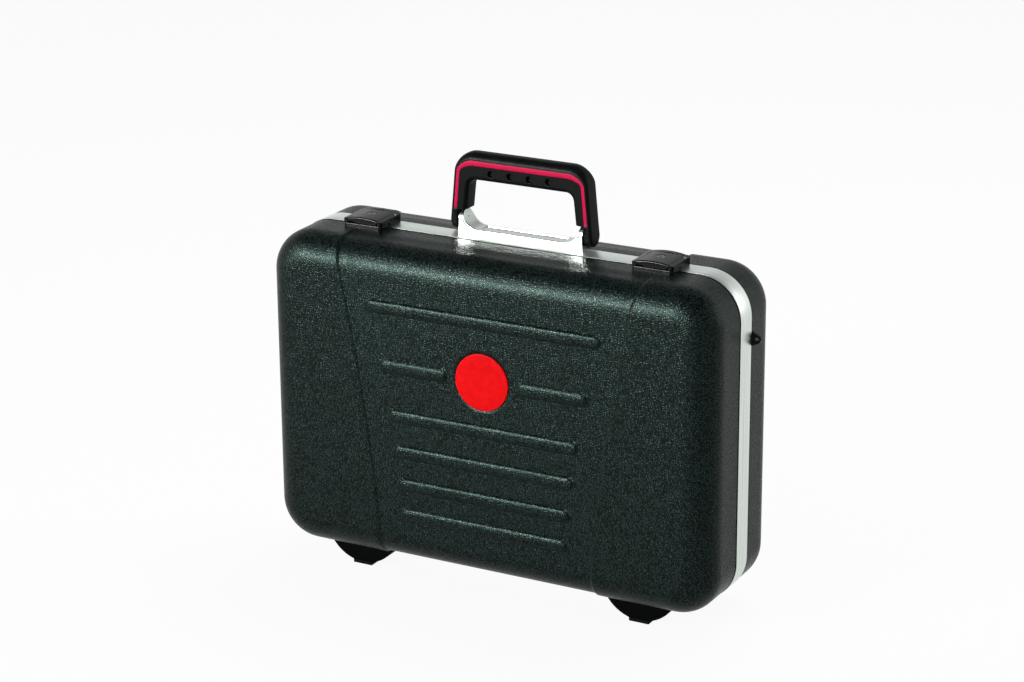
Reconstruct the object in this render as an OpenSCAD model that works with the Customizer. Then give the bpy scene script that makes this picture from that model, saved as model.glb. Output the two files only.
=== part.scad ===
// Hard tool case: two moulded shells that meet at an aluminium band, standing upright on four feet.
// X runs across the case, -Y is the lid's face, +Z is up to the handle. The origin is on the floor
// under the middle of the case. All sizes are in millimetres.

/* [Case] */
// Width of the shells
case_w = 470; // [400:1:580]
// Height of the shells without the feet
case_h = 316; // [270:1:400]
// Depth of the lid shell, from its face to the parting line
lid_d = 61; // [58:1:90]
// Depth of the base shell, from the parting line to its back
base_d = 78; // [72:1:110]
// Wall of both shells
wall = 3.2; // [2.6:0.1:3.8]
// Corner radius of the outline
corner_r = 41; // [36:1:50]
// Rounding of the front and back edges
edge_r = 28; // [20:1:29]

/* [Pressed panel] */
// Depth of the panel below the side zones
panel_sink = 1.6; // [0.8:0.1:2]
// Half width of the panel at the bottom
panel_low = 114.5; // [106:0.5:120]
// Half width of the panel at the top
panel_high = 157.5; // [145:0.5:165]
// How fast the panel's edges splay, 1 is straight
panel_bend = 1.475; // [1:0.005:2]
// Height of the ribs above the panel
rib_up = 2.5; // [1.5:0.1:3]
// Width of a rib
rib_wide = 13; // [9:0.5:15]

/* [Badge] */
// Diameter of the bare round badge
badge_dia = 55.8; // [40:0.2:64]
// Height of the badge's centre above the underside of the shells
badge_up = 199.5; // [185:0.5:210]
// Depth of the seat that holds the badge
badge_seat = 1.2; // [0.8:0.1:1.4]

/* [Band] */
// Width of the aluminium band
band_w = 23; // [20:0.5:26]
// How far the band stands proud of the shells
band_proud = 0.6; // [0.2:0.1:1]
// Thickness of the band's metal
band_t = 2.2; // [1.8:0.1:2.4]
// Black gap between the lid's edge and the band
parting_gap = 1.2; // [0.8:0.1:1.6]

/* [Feet] */
// Height of the feet
foot_h = 22.5; // [19:0.5:26]
// Distance of each foot from the middle of the case
foot_x = 151; // [120:1:155]
// Thickness of a foot along the case's depth
foot_t = 20; // [14:0.5:20]
// Radius of a foot's round underside
foot_r = 40.5; // [36:0.5:44]
// Width of the rubber pad under a foot
pad_w = 21; // [16:0.5:26]

/* [Handle] */
// Half width of the handle at its pivots
handle_half = 75; // [70:0.5:84]
// Half width of the handle at its shoulders
shoulder_half = 70.5; // [66:0.5:80]
// Height of the handle above its pivots
handle_rise = 67; // [62:0.5:78]
// Height of the grip from its underside to its top
grip_h = 26; // [20:0.5:28]
// Depth of the handle
handle_d = 20; // [16:0.5:22]
// Outer shoulder radius
shoulder_r = 20; // [14:0.5:24]
// Half width of the finger opening under the ears' level
opening_half = 58.5; // [54:0.5:60]
// Pivot pin radius
pivot_r = 3; // [2.5:0.1:3.5]
// Distance of the handle's middle behind the parting line
handle_back = 26.5; // [24:0.5:32]
// Half width of the die-cast bracket
bracket_half = 65.4; // [63:0.1:66]
// Thickness of the bracket's bed
bed_t = 4.4; // [3.5:0.1:5]

/* [Latches] */
// Distance of each latch from the middle of the case
latch_x = 153; // [130:1:165]
// Width of a latch
latch_w = 42; // [36:0.5:48]
// Reach of a latch forward of the parting line
latch_fore = 15.5; // [14:0.5:18]
// Height of a latch above the shell
latch_h = 11; // [10.5:0.1:13]
// Width of the lifting flap
flap_w = 32; // [28:0.5:34]
// Radius of the lock cylinder
lock_r = 4.5; // [4:0.1:5]

/* [Hinge] */
// Length of the hinge
hinge_len = 200; // [140:2:220]
// Number of knuckles, an odd number
knuckles = 9; // [5:2:15]
// Radius of a knuckle
knuckle_r = 3; // [2.6:0.1:3.2]
// Radius of the hinge pin
hinge_pin_r = 1.5; // [1.2:0.1:1.8]

/* [Inside] */
// Wall of the base tray
tray_t = 1.6; // [1.2:0.1:2.4]
// Height of the cross divider above the tray's floor side
divider_up = 128; // [90:1:180]
// Length of a lid stay between its pivot and its slider
stay_len = 130; // [120:1:140]
// Width of a strap eye's hole
eye_dia = 3.6; // [3:0.1:4.4]

/* [Hidden] */

$fn = 64;
eps = 0.01;
cut = 1;
fit = 0.05;
gap = 0.3;

y_front = -(lid_d + base_d) / 2;
y_back = (lid_d + base_d) / 2;
y_part = y_front + lid_d;
y_rim = y_part - parting_gap;
y_band = y_part + band_w;
z_low = foot_h;
z_high = foot_h + case_h;
z_mid = (z_low + z_high) / 2;
badge_z = z_low + badge_up;

// Insets of the rim's layers below the outline
sleeve_in = band_t - band_proud;
web_in = 5;
web_t = 1.8;
frame_in = wall + 1.8;
frame_w = 14;
seal_in = 1;
seal_clear = 0.25;

// The six pressed ribs: height from the badge's centre and half length
rib_up_list = [57.5, 0, -48.9, -84.2, -117.2, -147.6];
rib_half_list = [123.6, 109.9, 100.5, 95.5, 91.3, 89.1];
split_half = 37;
panel_floor = 22.5;
panel_rise = 289;
panel_steps = 12;

// Hinge line under the band
hinge_y = y_part - 0.6;
hinge_z = z_low - band_proud - knuckle_r - 0.4;
leaf_t = 1.4;
leaf_lid_t = 1.2;
leaf_base_w = 17;
leaf_lid_w = 8;
rivet_r = 1.6;
rivet_head_r = 2.8;
rivet_head_t = 0.7;
rivets = 5;

// Feet stand the same distance inside both faces
foot_in = edge_r;
foot_hub = foot_r - (foot_h - 1.8);
pad_t = 3.6;
foot_screw_x = 20;
screw_r = 2;
screw_head_r = 3.9;
screw_head_t = 2.2;

// Handle and bracket
pivot_y = y_part + handle_back;
pivot_z = z_high + handle_d / 2 + 2;
handle_top = pivot_z + handle_rise;
ear_r = handle_d / 2;
ear_clear = 0.3;
bed_z = z_high + band_proud + bed_t;
bed_sink = 0.7;
ear_fillet = 17;
ear_tip_t = 3.9;
opening_r = 8;
opening_taper = 3;
inlay_in = 6.8;
inlay_w = 5.4;
inlay_t = 0.8;
inlay_stop = 12.5;
dimple_r = 4.5;
dimple_step = 20.3;
dimple_up = 8;
bracket_screw_x = 36;

// Latch levels above the shell
latch_half = latch_w / 2;
latch_front = y_part - latch_fore;
latch_back = y_band - 0.5;
latch_base_t = 2.5;
latch_floor = z_high + band_proud + latch_base_t;
latch_top = z_high + latch_h;
crown_r = 80;
overhang_z = z_high + 4.6;
keeper_h = 4;
flap_clear = 0.3;
flap_t = 3;
flap_knuckle_r = 2.6;
flap_pin_r = 1.25;
flap_pin_y = latch_back - 5 - flap_knuckle_r;
flap_pin_z = latch_top - flap_knuckle_r - 0.4;
flap_under = latch_top - flap_t - 0.4;
flap_lip = 1.6;
cheek_in = flap_w / 2 + flap_clear;
pin_bury = 1.5;
claw_pin_y = flap_pin_y - 10;
claw_pin_z = flap_pin_z - 2.9;
claw_pin_r = 1;
claw_eye_r = 1.8;
claw_in = flap_w / 2 - 8.5;
claw_w = 4;
claw_t = 1.5;
hook_y = latch_front + 5;
hook_t = 1.4;
hook_grip = 0.8;
lug_t = 2;
lip_t = 1.6;
lip_h = 3.1;
lock_y = (latch_front + latch_back) / 2 - 0.5;
lock_sink = 0.4;
keyway_w = 0.9;
keyway_l = 5;
cam_t = 0.8;
cam_l = 10;
latch_screw_x = 7;
latch_screw_y = flap_pin_y - 2.5;
small_screw_r = 1.4;
small_head_r = 2.4;
small_head_t = 1.1;

// Inside fittings
tray_gap = 0.4;
tray_y0 = y_part + web_t + 1;
tray_in = 14.5;
divider_t = 2;
board_t = 2.5;
board_edge = 14;
pocket_t = 4;
pocket_count = 5;
pocket_seam = 8;
pocket_h = 150;
pocket_drop = 34;
stud_r = 4;
stud_t = 1.6;

// Lid stays
stay_y = y_part + 12.5;
stay_z = hinge_z + 60;
stay_guide_y = y_part - 11;
stay_slide_z = stay_z + sqrt(stay_len * stay_len - pow(stay_y - stay_guide_y, 2));
stay_t = 2;
stay_w = 12;
stay_x = case_w / 2 - web_in - 4.2;
stay_pin_r = 2.5;
stay_boss_r = 5.5;
guide_low = hinge_z + 80;
guide_high = stay_slide_z + 12;
guide_t = 1.5;
guide_w = 12;
guide_slot = 4.6;
slider_r = 2;

// Strap eyes
lug_z = z_high - 62;
lug_y = y_band + 0.5;
lug_root = 14;
lug_out = 9.5;
lug_tip_r = 4;
lug_d = 4;

// ---- shared shapes ----

// Quarter of a disc in the first quadrant
module quarter_disc(r) {
    intersection() {
        circle(r = r);
        square([r, r]);
    }
}

// Rectangle about the origin with rounded corners
module rounded_rect(w, h, r) {
    union() {
        square([w - 2 * r, h], center = true);
        square([w, h - 2 * r], center = true);
        for (k = [0:3]) {
            turned = k % 2 == 1;
            rotate(90 * k)
                translate([(turned ? h : w) / 2 - r, (turned ? w : h) / 2 - r])
                    quarter_disc(r);
        }
    }
}

// Bar with round ends about the origin
module round_bar(len, wide) {
    union() {
        square([len - wide, wide], center = true);
        for (side = [-1, 1])
            translate([side * (len - wide) / 2, 0]) circle(d = wide);
    }
}

// The case's outline, drawn in by d
module outline(d) {
    rounded_rect(case_w - 2 * d, case_h - 2 * d, corner_r - d);
}

// Places a flat shape upright: its x stays X, its y becomes Z, and it fills y0 to y1
module upright(y0, y1) {
    translate([0, y1, 0]) rotate([90, 0, 0]) linear_extrude(y1 - y0) children();
}

// Upright slab of the outline
module slab(y0, y1, d) {
    upright(y0, y1) translate([0, z_mid]) outline(d);
}

// Upright ring between two insets
module ring(y0, y1, d_out, d_in) {
    difference() {
        slab(y0, y1, d_out);
        slab(y0 - cut, y1 + cut, d_in);
    }
}

// Section from the middle of a corner outwards: depth t, outer top edge rounded by e
module corner_section(r, t, e) {
    union() {
        square([r, t - e]);
        square([r - e, t]);
        translate([r - e, t - e]) quarter_disc(e);
    }
}

// Section across the whole body, both top edges rounded
module across_section(w, t, e) {
    union() {
        translate([-w / 2, 0]) square([w, t - e]);
        translate([e - w / 2, 0]) square([w - 2 * e, t]);
        translate([w / 2 - e, t - e]) quarter_disc(e);
        mirror([1, 0]) translate([w / 2 - e, t - e]) quarter_disc(e);
    }
}

// Closed half body of the given depth, drawn in by d all round, lying on its parting plane
module half_body(depth, d) {
    w = case_w - 2 * d;
    h = case_h - 2 * d;
    r = corner_r - d;
    e = edge_r - d;
    t = depth - d;
    union() {
        rotate([90, 0, 0]) linear_extrude(h - 2 * r, center = true) across_section(w, t, e);
        for (k = [0, 1])
            rotate(180 * k) translate([0, h / 2 - r, 0])
                rotate([90, 0, 90]) linear_extrude(w - 2 * r, center = true)
                    corner_section(r, t, e);
        for (k = [0:3]) {
            turned = k % 2 == 1;
            rotate(90 * k)
                translate([(turned ? h : w) / 2 - r, (turned ? w : h) / 2 - r, 0])
                    rotate_extrude(angle = 90) corner_section(r, t, e);
        }
    }
}

// Lid half and base half, stood upright with the parting plane at y0
module lid_half(depth, d, y0) {
    translate([0, y0, z_mid]) rotate([90, 0, 0]) half_body(depth, d);
}

module base_half(depth, d, y0) {
    translate([0, y0, z_mid]) mirror([0, 1, 0]) rotate([90, 0, 0]) half_body(depth, d);
}

// Half width of the pressed panel at height z above the panel's lower end
function panel_half(z) =
    panel_low + (panel_high - panel_low) * pow(max(z - panel_floor, 0) / panel_rise, panel_bend);

// Outline of the pressed panel, from the underside to the top of the shells
module panel_outline() {
    step = (case_h + 2 * cut) / panel_steps;
    right = [for (i = [0:panel_steps]) let (z = i * step - cut) [panel_half(z), z_low + z]];
    left = [for (i = [panel_steps:-1:0]) let (z = i * step - cut) [-panel_half(z), z_low + z]];
    polygon(concat(right, left));
}

// Flat shapes of the ribs; the one beside the badge is in two halves where split is true
module rib_shapes(split) {
    for (i = [0:len(rib_up_list) - 1]) {
        z = badge_z + rib_up_list[i];
        half = rib_half_list[i];
        if (split && i == 1)
            for (side = [-1, 1])
                translate([side * (split_half + half) / 2, z]) round_bar(half - split_half, rib_wide);
        else
            translate([0, z]) round_bar(2 * half, rib_wide);
    }
}

// ---- base body ----

module base_shell() {
    color("#20251f") difference() {
        union() {
            base_half(y_back - y_band, 0, y_band);
            slab(y_part + web_t, y_band, sleeve_in);
            upright(y_back - panel_sink - eps, y_back - panel_sink + rib_up) rib_shapes(false);
        }
        base_half(base_d - web_t - panel_sink, wall, y_part + web_t - eps);
        difference() {
            upright(y_back - panel_sink, y_back + cut) panel_outline();
            upright(y_back - panel_sink - cut, y_back + 2 * cut) rib_shapes(false);
        }
        bracket_holes();
        latch_holes();
        foot_holes(1);
        hinge_holes(1);
        lug_holes();
        stay_post_holes();
    }
}

module base_frame() {
    color("#d9dbd6") difference() {
        union() {
            ring(y_part, y_band, -band_proud, sleeve_in);
            ring(y_part, y_part + web_t, sleeve_in - eps, web_in);
        }
        latch_holes();
        hinge_holes(1);
    }
}

tray_floor_y = y_back - wall - panel_sink - tray_gap - tray_t;
tray_side = case_w / 2 - tray_in - tray_t;
divider_y0 = tray_y0 + 3;
divider_z = z_low + tray_in + tray_t + divider_up;

// Space of the tray drawn in by d, closed by the parting plane where d is 0
module tray_space(d) {
    intersection() {
        base_half(base_d, wall + panel_sink + tray_gap + d, y_part);
        slab(tray_y0 - (d > 0 ? cut : 0), y_back, tray_in + d);
    }
}

// Thin open tray that lines the base shell
module base_tray() {
    color("#3a3d3c") difference() {
        tray_space(0);
        tray_space(tray_t);
    }
}

// One long shelf across the tray and one upright above it
module base_dividers() {
    color("#8f9492") intersection() {
        union() {
            translate([-case_w / 2, divider_y0, divider_z]) cube([case_w, base_d, divider_t]);
            translate([-divider_t / 2, divider_y0, divider_z]) cube([divider_t, base_d, case_h]);
        }
        tray_space(tray_t + gap);
    }
}

// Press studs that hold the tray to the base shell's back
module tray_studs() {
    color("#202224") for (sx = [-1, 1], sz = [-1, 1])
        translate([sx * 120, tray_floor_y, z_mid + sz * 90]) rotate([90, 0, 0])
            cylinder(r = stud_r, h = stud_t);
}

// ---- lid body ----

module lid_shell() {
    color("#20251f") difference() {
        union() {
            lid_half(lid_d - parting_gap, 0, y_rim);
            upright(y_front + panel_sink - rib_up, y_front + panel_sink + eps) rib_shapes(true);
        }
        lid_half(lid_d - parting_gap - panel_sink + eps, wall, y_rim + eps);
        difference() {
            upright(y_front - cut, y_front + panel_sink) panel_outline();
            upright(y_front - 2 * cut, y_front + panel_sink + cut) rib_shapes(true);
        }
        upright(y_front - cut, y_front + panel_sink + badge_seat)
            translate([0, badge_z]) circle(d = badge_dia + 2 * gap);
        foot_holes(-1);
        hinge_holes(-1);
        keeper_holes();
    }
}

// Aluminium profile inside the lid's rim
module lid_frame() {
    color("#c9ccc8") difference() {
        ring(y_rim - frame_w, y_rim, wall, frame_in);
        keeper_holes();
        hinge_holes(-1);
    }
}

// Rubber seal that shows as the black line in front of the band
module lid_seal() {
    color("#0c0c0c") ring(y_rim, y_part - seal_clear, seal_in, frame_in);
}

lid_floor_y = y_front + panel_sink + wall;

board_w = case_w - 2 * edge_r - 12;
board_h = case_h - 2 * edge_r - 4;
pocket_pitch = (board_w - 2 * board_edge) / pocket_count;

// Lined board against the inside of the lid's face
module lid_board() {
    color("#2c2f31") upright(lid_floor_y, lid_floor_y + board_t)
        translate([0, z_mid]) rounded_rect(board_w, board_h, 12);
}

// Row of flat tool pockets sewn on the board
module tool_pockets() {
    color("#3d4144") for (i = [0:pocket_count - 1])
        upright(lid_floor_y + board_t, lid_floor_y + board_t + pocket_t)
            translate([(i - (pocket_count - 1) / 2) * pocket_pitch, z_mid - pocket_drop])
                rounded_rect(pocket_pitch - pocket_seam, pocket_h, 6);
}

// Press studs in the board's corners
module board_studs() {
    color("#c9ccc8") for (sx = [-1, 1], sz = [-1, 1])
        translate([sx * (board_w / 2 - board_edge / 2), lid_floor_y + board_t + stud_t,
            z_mid + sz * (board_h / 2 - board_edge)])
            rotate([90, 0, 0]) cylinder(r = stud_r, h = stud_t);
}

module badge_disc() {
    color("#f8141a") upright(y_front + panel_sink - 0.6, y_front + panel_sink + badge_seat)
        translate([0, badge_z]) circle(d = badge_dia);
}

// ---- hinge ----

knuckle_pitch = hinge_len / knuckles;

// Bored knuckle number i, with its web up to the leaf at height z and depth y
module knuckle(i, web_y, web_z) {
    x0 = -hinge_len / 2 + i * knuckle_pitch + gap / 2;
    translate([x0, hinge_y, hinge_z]) rotate([0, 90, 0])
        cylinder(r = knuckle_r, h = knuckle_pitch - gap);
    translate([x0, min(web_y, hinge_y), web_z])
        cube([knuckle_pitch - gap, abs(web_y - hinge_y), 1.2]);
}

module hinge_bore() {
    translate([-hinge_len / 2 - cut, hinge_y, hinge_z]) rotate([0, 90, 0])
        cylinder(r = hinge_pin_r + fit, h = hinge_len + 2 * cut);
}

leaf_base_y = hinge_y + knuckle_r + 0.4;
leaf_lid_y = hinge_y - knuckle_r - 0.4;
function rivet_x(i) = (i - (rivets - 1) / 2) * (hinge_len - 20) / (rivets - 1);

module hinge_leaf_base() {
    z = z_low - band_proud;
    color("#b9bcb8") difference() {
        union() {
            translate([-hinge_len / 2, leaf_base_y, z - leaf_t])
                cube([hinge_len, leaf_base_w - knuckle_r, leaf_t]);
            for (i = [0:2:knuckles - 1]) knuckle(i, leaf_base_y + eps, z - 1.2);
        }
        hinge_bore();
        hinge_holes(1);
    }
}

module hinge_leaf_lid() {
    color("#b9bcb8") difference() {
        union() {
            translate([-hinge_len / 2, leaf_lid_y - leaf_lid_w, z_low - leaf_lid_t])
                cube([hinge_len, leaf_lid_w, leaf_lid_t]);
            for (i = [1:2:knuckles - 2]) knuckle(i, leaf_lid_y - eps, z_low - 1.2);
        }
        hinge_bore();
        hinge_holes(-1);
    }
}

module hinge_pin() {
    color("#9b9e9c") translate([-hinge_len / 2, hinge_y, hinge_z]) rotate([0, 90, 0])
        cylinder(r = hinge_pin_r, h = hinge_len);
}

// Depth at which the rivets sit: 1 is the base side, -1 the lid side
function rivet_y(side) = side > 0 ? leaf_base_y + 7.5 : leaf_lid_y - leaf_lid_w / 2;

module hinge_holes(side) {
    for (i = [0:rivets - 1]) translate([rivet_x(i), rivet_y(side), z_low - 6])
        cylinder(r = rivet_r + fit, h = 16);
}

// Rivets through leaf, rim and wall, with a head at each end
module hinge_rivets(side) {
    low = side > 0 ? z_low - band_proud - leaf_t : z_low - leaf_lid_t;
    top = z_low + (side > 0 ? wall : frame_in);
    color("#8d908e") for (i = [0:rivets - 1]) translate([rivet_x(i), rivet_y(side), 0]) {
        translate([0, 0, low]) cylinder(r = rivet_r, h = top - low);
        translate([0, 0, low - rivet_head_t]) cylinder(r = rivet_head_r, h = rivet_head_t);
        translate([0, 0, top]) cylinder(r = rivet_head_r, h = rivet_head_t);
    }
}

module hinge_rivets_base() {
    hinge_rivets(1);
}

module hinge_rivets_lid() {
    hinge_rivets(-1);
}

// ---- feet ----

// Front plane of the feet on one shell: 1 is the base side, -1 the lid side
function foot_y0(side) = side > 0 ? y_back - foot_in - foot_t : y_front + foot_in;

module foot(side, sx) {
    y0 = foot_y0(side);
    color("#101110") difference() {
        upright(y0, y0 + foot_t) translate([sx * foot_x, 0]) difference() {
            translate([0, z_low + foot_hub]) circle(r = foot_r);
            translate([-foot_r - cut, z_low]) square([2 * (foot_r + cut), 2 * foot_r + foot_h]);
            translate([-pad_w / 2, -cut]) square([pad_w, pad_t + cut]);
        }
        foot_holes(side);
    }
}

module foot_pads(side) {
    y0 = foot_y0(side);
    color("#0a0a0a") for (sx = [-1, 1])
        upright(y0, y0 + foot_t) translate([sx * foot_x - pad_w / 2, 0]) square([pad_w, pad_t]);
}

module foot_holes(side) {
    for (sx = [-1, 1], k = [-1, 1])
        translate([sx * foot_x + k * foot_screw_x, foot_y0(side) + foot_t / 2, z_low - 11])
            cylinder(r = screw_r + fit, h = 11 + wall + cut);
}

module foot_screws(side) {
    color("#7b7e7c") for (sx = [-1, 1], k = [-1, 1])
        translate([sx * foot_x + k * foot_screw_x, foot_y0(side) + foot_t / 2, z_low + wall]) {
            cylinder(r = screw_head_r, h = screw_head_t);
            translate([0, 0, -wall - 11]) cylinder(r = screw_r, h = wall + 11);
        }
}

// ---- handle ----

// Outline of the handle's arch, drawn in by d, down to the pivots
module arch(d) {
    hull() {
        for (sx = [-1, 1]) translate([sx * (shoulder_half - shoulder_r), handle_top - shoulder_r])
            circle(r = shoulder_r - d);
        translate([-handle_half + d, pivot_z]) square([2 * (handle_half - d), eps]);
    }
}

// Finger opening, wider beside the bracket's ears
module arch_opening() {
    top = handle_top - grip_h;
    step_z = pivot_z + ear_r + 0.8;
    hull() {
        for (sx = [-1, 1])
            translate([sx * (opening_half - opening_taper - opening_r), top - opening_r])
                circle(r = opening_r);
        translate([-opening_half, step_z - 5]) square([2 * opening_half, eps]);
    }
    translate([-bracket_half - ear_clear, z_high - cut])
        square([2 * (bracket_half + ear_clear), step_z - z_high + cut]);
}

module pivot_bore(sx) {
    translate([sx * (bracket_half - 6), pivot_y, pivot_z]) rotate([0, sx * 90, 0])
        cylinder(r = pivot_r + fit, h = handle_half - bracket_half + 6 - 2.5);
}

module handle_grip() {
    y0 = pivot_y - handle_d / 2;
    y1 = pivot_y + handle_d / 2;
    color("#161817") difference() {
        union() {
            upright(y0, y1) arch(0);
            translate([-handle_half, pivot_y, pivot_z]) rotate([0, 90, 0])
                cylinder(r = handle_d / 2, h = 2 * handle_half);
        }
        upright(y0 - cut, y1 + cut) arch_opening();
        for (sx = [-1, 1]) pivot_bore(sx);
        inlay(y0 - cut, y0 + inlay_t);
        inlay(y1 - inlay_t, y1 + cut);
        for (i = [-1.5:1:1.5], y = [y0 - 3, y1 + 3])
            translate([i * dimple_step, y, handle_top - grip_h + dimple_up]) sphere(r = dimple_r);
    }
}

// Stripe that follows the arch and stops above the pivots
module inlay(y0, y1) {
    difference() {
        upright(y0, y1) arch(inlay_in);
        upright(y0 - cut, y1 + cut) arch(inlay_in + inlay_w);
        translate([-handle_half, y0 - cut, pivot_z - cut])
            cube([2 * handle_half, y1 - y0 + 2 * cut, inlay_stop + cut]);
    }
}

module grip_inlay_front() {
    color("#d9134f") inlay(pivot_y - handle_d / 2, pivot_y - handle_d / 2 + inlay_t);
}

module grip_inlay_rear() {
    color("#d9134f") inlay(pivot_y + handle_d / 2 - inlay_t, pivot_y + handle_d / 2);
}

// Die-cast U: a bed with an ear at each end, hollowed by a round between them
module handle_bracket() {
    y0 = pivot_y - ear_r;
    y1 = pivot_y + ear_r;
    inner = bracket_half - ear_tip_t;
    color("#c6c9c4") difference() {
        intersection() {
            upright(y0, y1) difference() {
                translate([-bracket_half, z_high])
                    square([2 * bracket_half, pivot_z + ear_r - z_high]);
                translate([-inner, bed_z + ear_fillet]) square([2 * inner, 4 * ear_r]);
                translate([ear_fillet - inner, bed_z])
                    square([2 * (inner - ear_fillet), 4 * ear_r]);
                for (sx = [-1, 1])
                    translate([sx * (inner - ear_fillet), bed_z + ear_fillet])
                        circle(r = ear_fillet);
            }
            union() {
                translate([-bracket_half - cut, y0, z_high])
                    cube([2 * bracket_half + 2 * cut, 2 * ear_r, pivot_z - z_high]);
                translate([-bracket_half - cut, pivot_y, pivot_z]) rotate([0, 90, 0])
                    cylinder(r = ear_r, h = 2 * bracket_half + 2 * cut);
            }
        }
        slab(y_part, y_band + gap, -band_proud);
        translate([-inner + ear_fillet, y0 + 3, bed_z - bed_sink])
            cube([2 * (inner - ear_fillet), 2 * ear_r - 6, bed_sink + cut]);
        for (sx = [-1, 1]) pivot_bore(sx);
        bracket_holes();
    }
}

module handle_pin(sx) {
    color("#a8aaa8") translate([sx * (bracket_half - 6), pivot_y, pivot_z])
        rotate([0, sx * 90, 0]) cylinder(r = pivot_r, h = handle_half - bracket_half + 6 - 2.6);
}

bracket_screw_y = y_band + 6;

module bracket_holes() {
    for (sx = [-1, 1]) translate([sx * bracket_screw_x, bracket_screw_y, z_high - wall - cut])
        cylinder(r = screw_r + fit, h = wall + 4 + cut);
}

module bracket_screws() {
    color("#7b7e7c") for (sx = [-1, 1])
        translate([sx * bracket_screw_x, bracket_screw_y, z_high - wall]) {
            translate([0, 0, -screw_head_t]) cylinder(r = screw_head_r, h = screw_head_t);
            cylinder(r = screw_r, h = wall + 4);
        }
}

// ---- latches ----

// Crowned block over a latch, from y0 to y1, z0 up to the crown
module crown_block(sx, half, y0, y1, z0) {
    intersection() {
        translate([sx * latch_x - half, y0, z0]) cube([2 * half, y1 - y0, latch_top - z0 + cut]);
        translate([sx * latch_x, y0 - cut, latch_top - crown_r]) rotate([-90, 0, 0])
            cylinder(r = crown_r, h = y1 - y0 + 2 * cut, $fn = 256);
    }
}

// X-wise cylinder of a latch, from x0 to x1 beside the latch's middle
module latch_rod(sx, x0, x1, y, z, r) {
    translate([sx * latch_x + x0, y, z]) rotate([0, 90, 0]) cylinder(r = r, h = x1 - x0);
}

// Fixed part on the band: floor plate, two cheeks and a bridge behind the flap
module latch_body(sx) {
    color("#141615") difference() {
        union() {
            crown_block(sx, latch_half, y_part + 0.5, latch_back, z_high + band_proud);
            crown_block(sx, latch_half, latch_front, y_part + 0.5 + eps, overhang_z);
        }
        translate([sx * latch_x - cheek_in, latch_front - cut, latch_floor])
            cube([2 * cheek_in, flap_pin_y + flap_knuckle_r + flap_clear - latch_front + cut, latch_h]);
        latch_rod(sx, -latch_half + pin_bury - fit, latch_half - pin_bury + fit,
            flap_pin_y, flap_pin_z, flap_pin_r + fit);
        latch_holes();
    }
}

// Flap that the finger lifts: plate, rear knuckle, front lip and the lugs that carry the claw
module latch_flap(sx) {
    half = flap_w / 2;
    color("#171918") difference() {
        union() {
            crown_block(sx, half, latch_front, flap_pin_y, flap_under);
            crown_block(sx, half, latch_front, latch_front + 2, flap_under - flap_lip);
            intersection() {
                latch_rod(sx, -half, half, flap_pin_y, flap_pin_z, flap_knuckle_r);
                crown_block(sx, half, flap_pin_y - 5, flap_pin_y + 5, flap_pin_z - 5);
            }
            for (k = [-1, 1]) translate([sx * latch_x + k * (claw_in + claw_w + gap + lug_t / 2)
                - lug_t / 2, claw_pin_y - 2, claw_pin_z - 1.8])
                cube([lug_t, 4, flap_under - claw_pin_z + 1.8 + eps]);
        }
        latch_rod(sx, -half - cut, half + cut, flap_pin_y, flap_pin_z, flap_pin_r + fit);
        latch_rod(sx, -half - cut, half + cut, claw_pin_y, claw_pin_z, claw_pin_r + fit);
        translate([sx * latch_x, lock_y, flap_under - cut])
            cylinder(r = lock_r + fit, h = latch_h);
    }
}

module flap_pin(sx) {
    color("#a8aaa8") latch_rod(sx, -latch_half + pin_bury, latch_half - pin_bury,
        flap_pin_y, flap_pin_z, flap_pin_r);
}

// Forked claw: two arms from the pins, a cross bar and the hook that drops behind the keeper's wall
module latch_claw(sx) {
    outer = claw_in + claw_w;
    color("#b5b8b4") difference() {
        union() {
            for (k = [-1, 1]) translate([k * (claw_in + claw_w / 2), 0, 0]) {
                latch_rod(sx, -claw_w / 2, claw_w / 2, claw_pin_y, claw_pin_z, claw_eye_r);
                translate([sx * latch_x - claw_w / 2, hook_y, claw_pin_z - claw_t / 2])
                    cube([claw_w, claw_pin_y - hook_y, claw_t]);
            }
            translate([sx * latch_x - outer, hook_y, claw_pin_z - claw_t / 2])
                cube([2 * outer, 2.4, claw_t]);
            translate([sx * latch_x - outer, hook_y, z_high + lip_h - hook_grip])
                cube([2 * outer, hook_t, claw_pin_z - z_high - lip_h + hook_grip]);
        }
        latch_rod(sx, -outer - cut, outer + cut, claw_pin_y, claw_pin_z, claw_pin_r + fit);
    }
}

// Two short pins that leave the middle free for the lock
module claw_pins(sx) {
    color("#a8aaa8") for (k = [-1, 1])
        translate([k * (claw_in + (claw_w + gap + lug_t) / 2), 0, 0])
            latch_rod(sx, -(claw_w + gap + lug_t) / 2, (claw_w + gap + lug_t) / 2,
                claw_pin_y, claw_pin_z, claw_pin_r);
}

// Keeper on the lid's edge: floor, visible front bar and the inner lip that the hook catches
module latch_keeper(sx) {
    x0 = sx * latch_x - latch_half + 0.4;
    w = latch_w - 0.8;
    floor_t = 1.2;
    color("#1b1e1d") difference() {
        union() {
            translate([x0, latch_front + 0.6, z_high]) cube([w, y_rim - latch_front - 0.6, floor_t]);
            translate([x0, latch_front + 0.6, z_high]) cube([w, 2.6, keeper_h]);
            translate([x0 + 4, hook_y + hook_t + 0.3, z_high]) cube([w - 8, lip_t, lip_h]);
        }
        keeper_holes();
    }
}

// Lock cylinder with its keyway, flush in the flap
module lock_cylinder(sx) {
    top = latch_top - lock_sink;
    color("#5d605f") difference() {
        translate([sx * latch_x, lock_y, flap_under - 0.6])
            cylinder(r = lock_r, h = top - flap_under + 0.6);
        translate([sx * latch_x - keyway_w / 2, lock_y - keyway_l / 2, top - 1.6])
            cube([keyway_w, keyway_l, 1.6 + cut]);
    }
}

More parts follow.
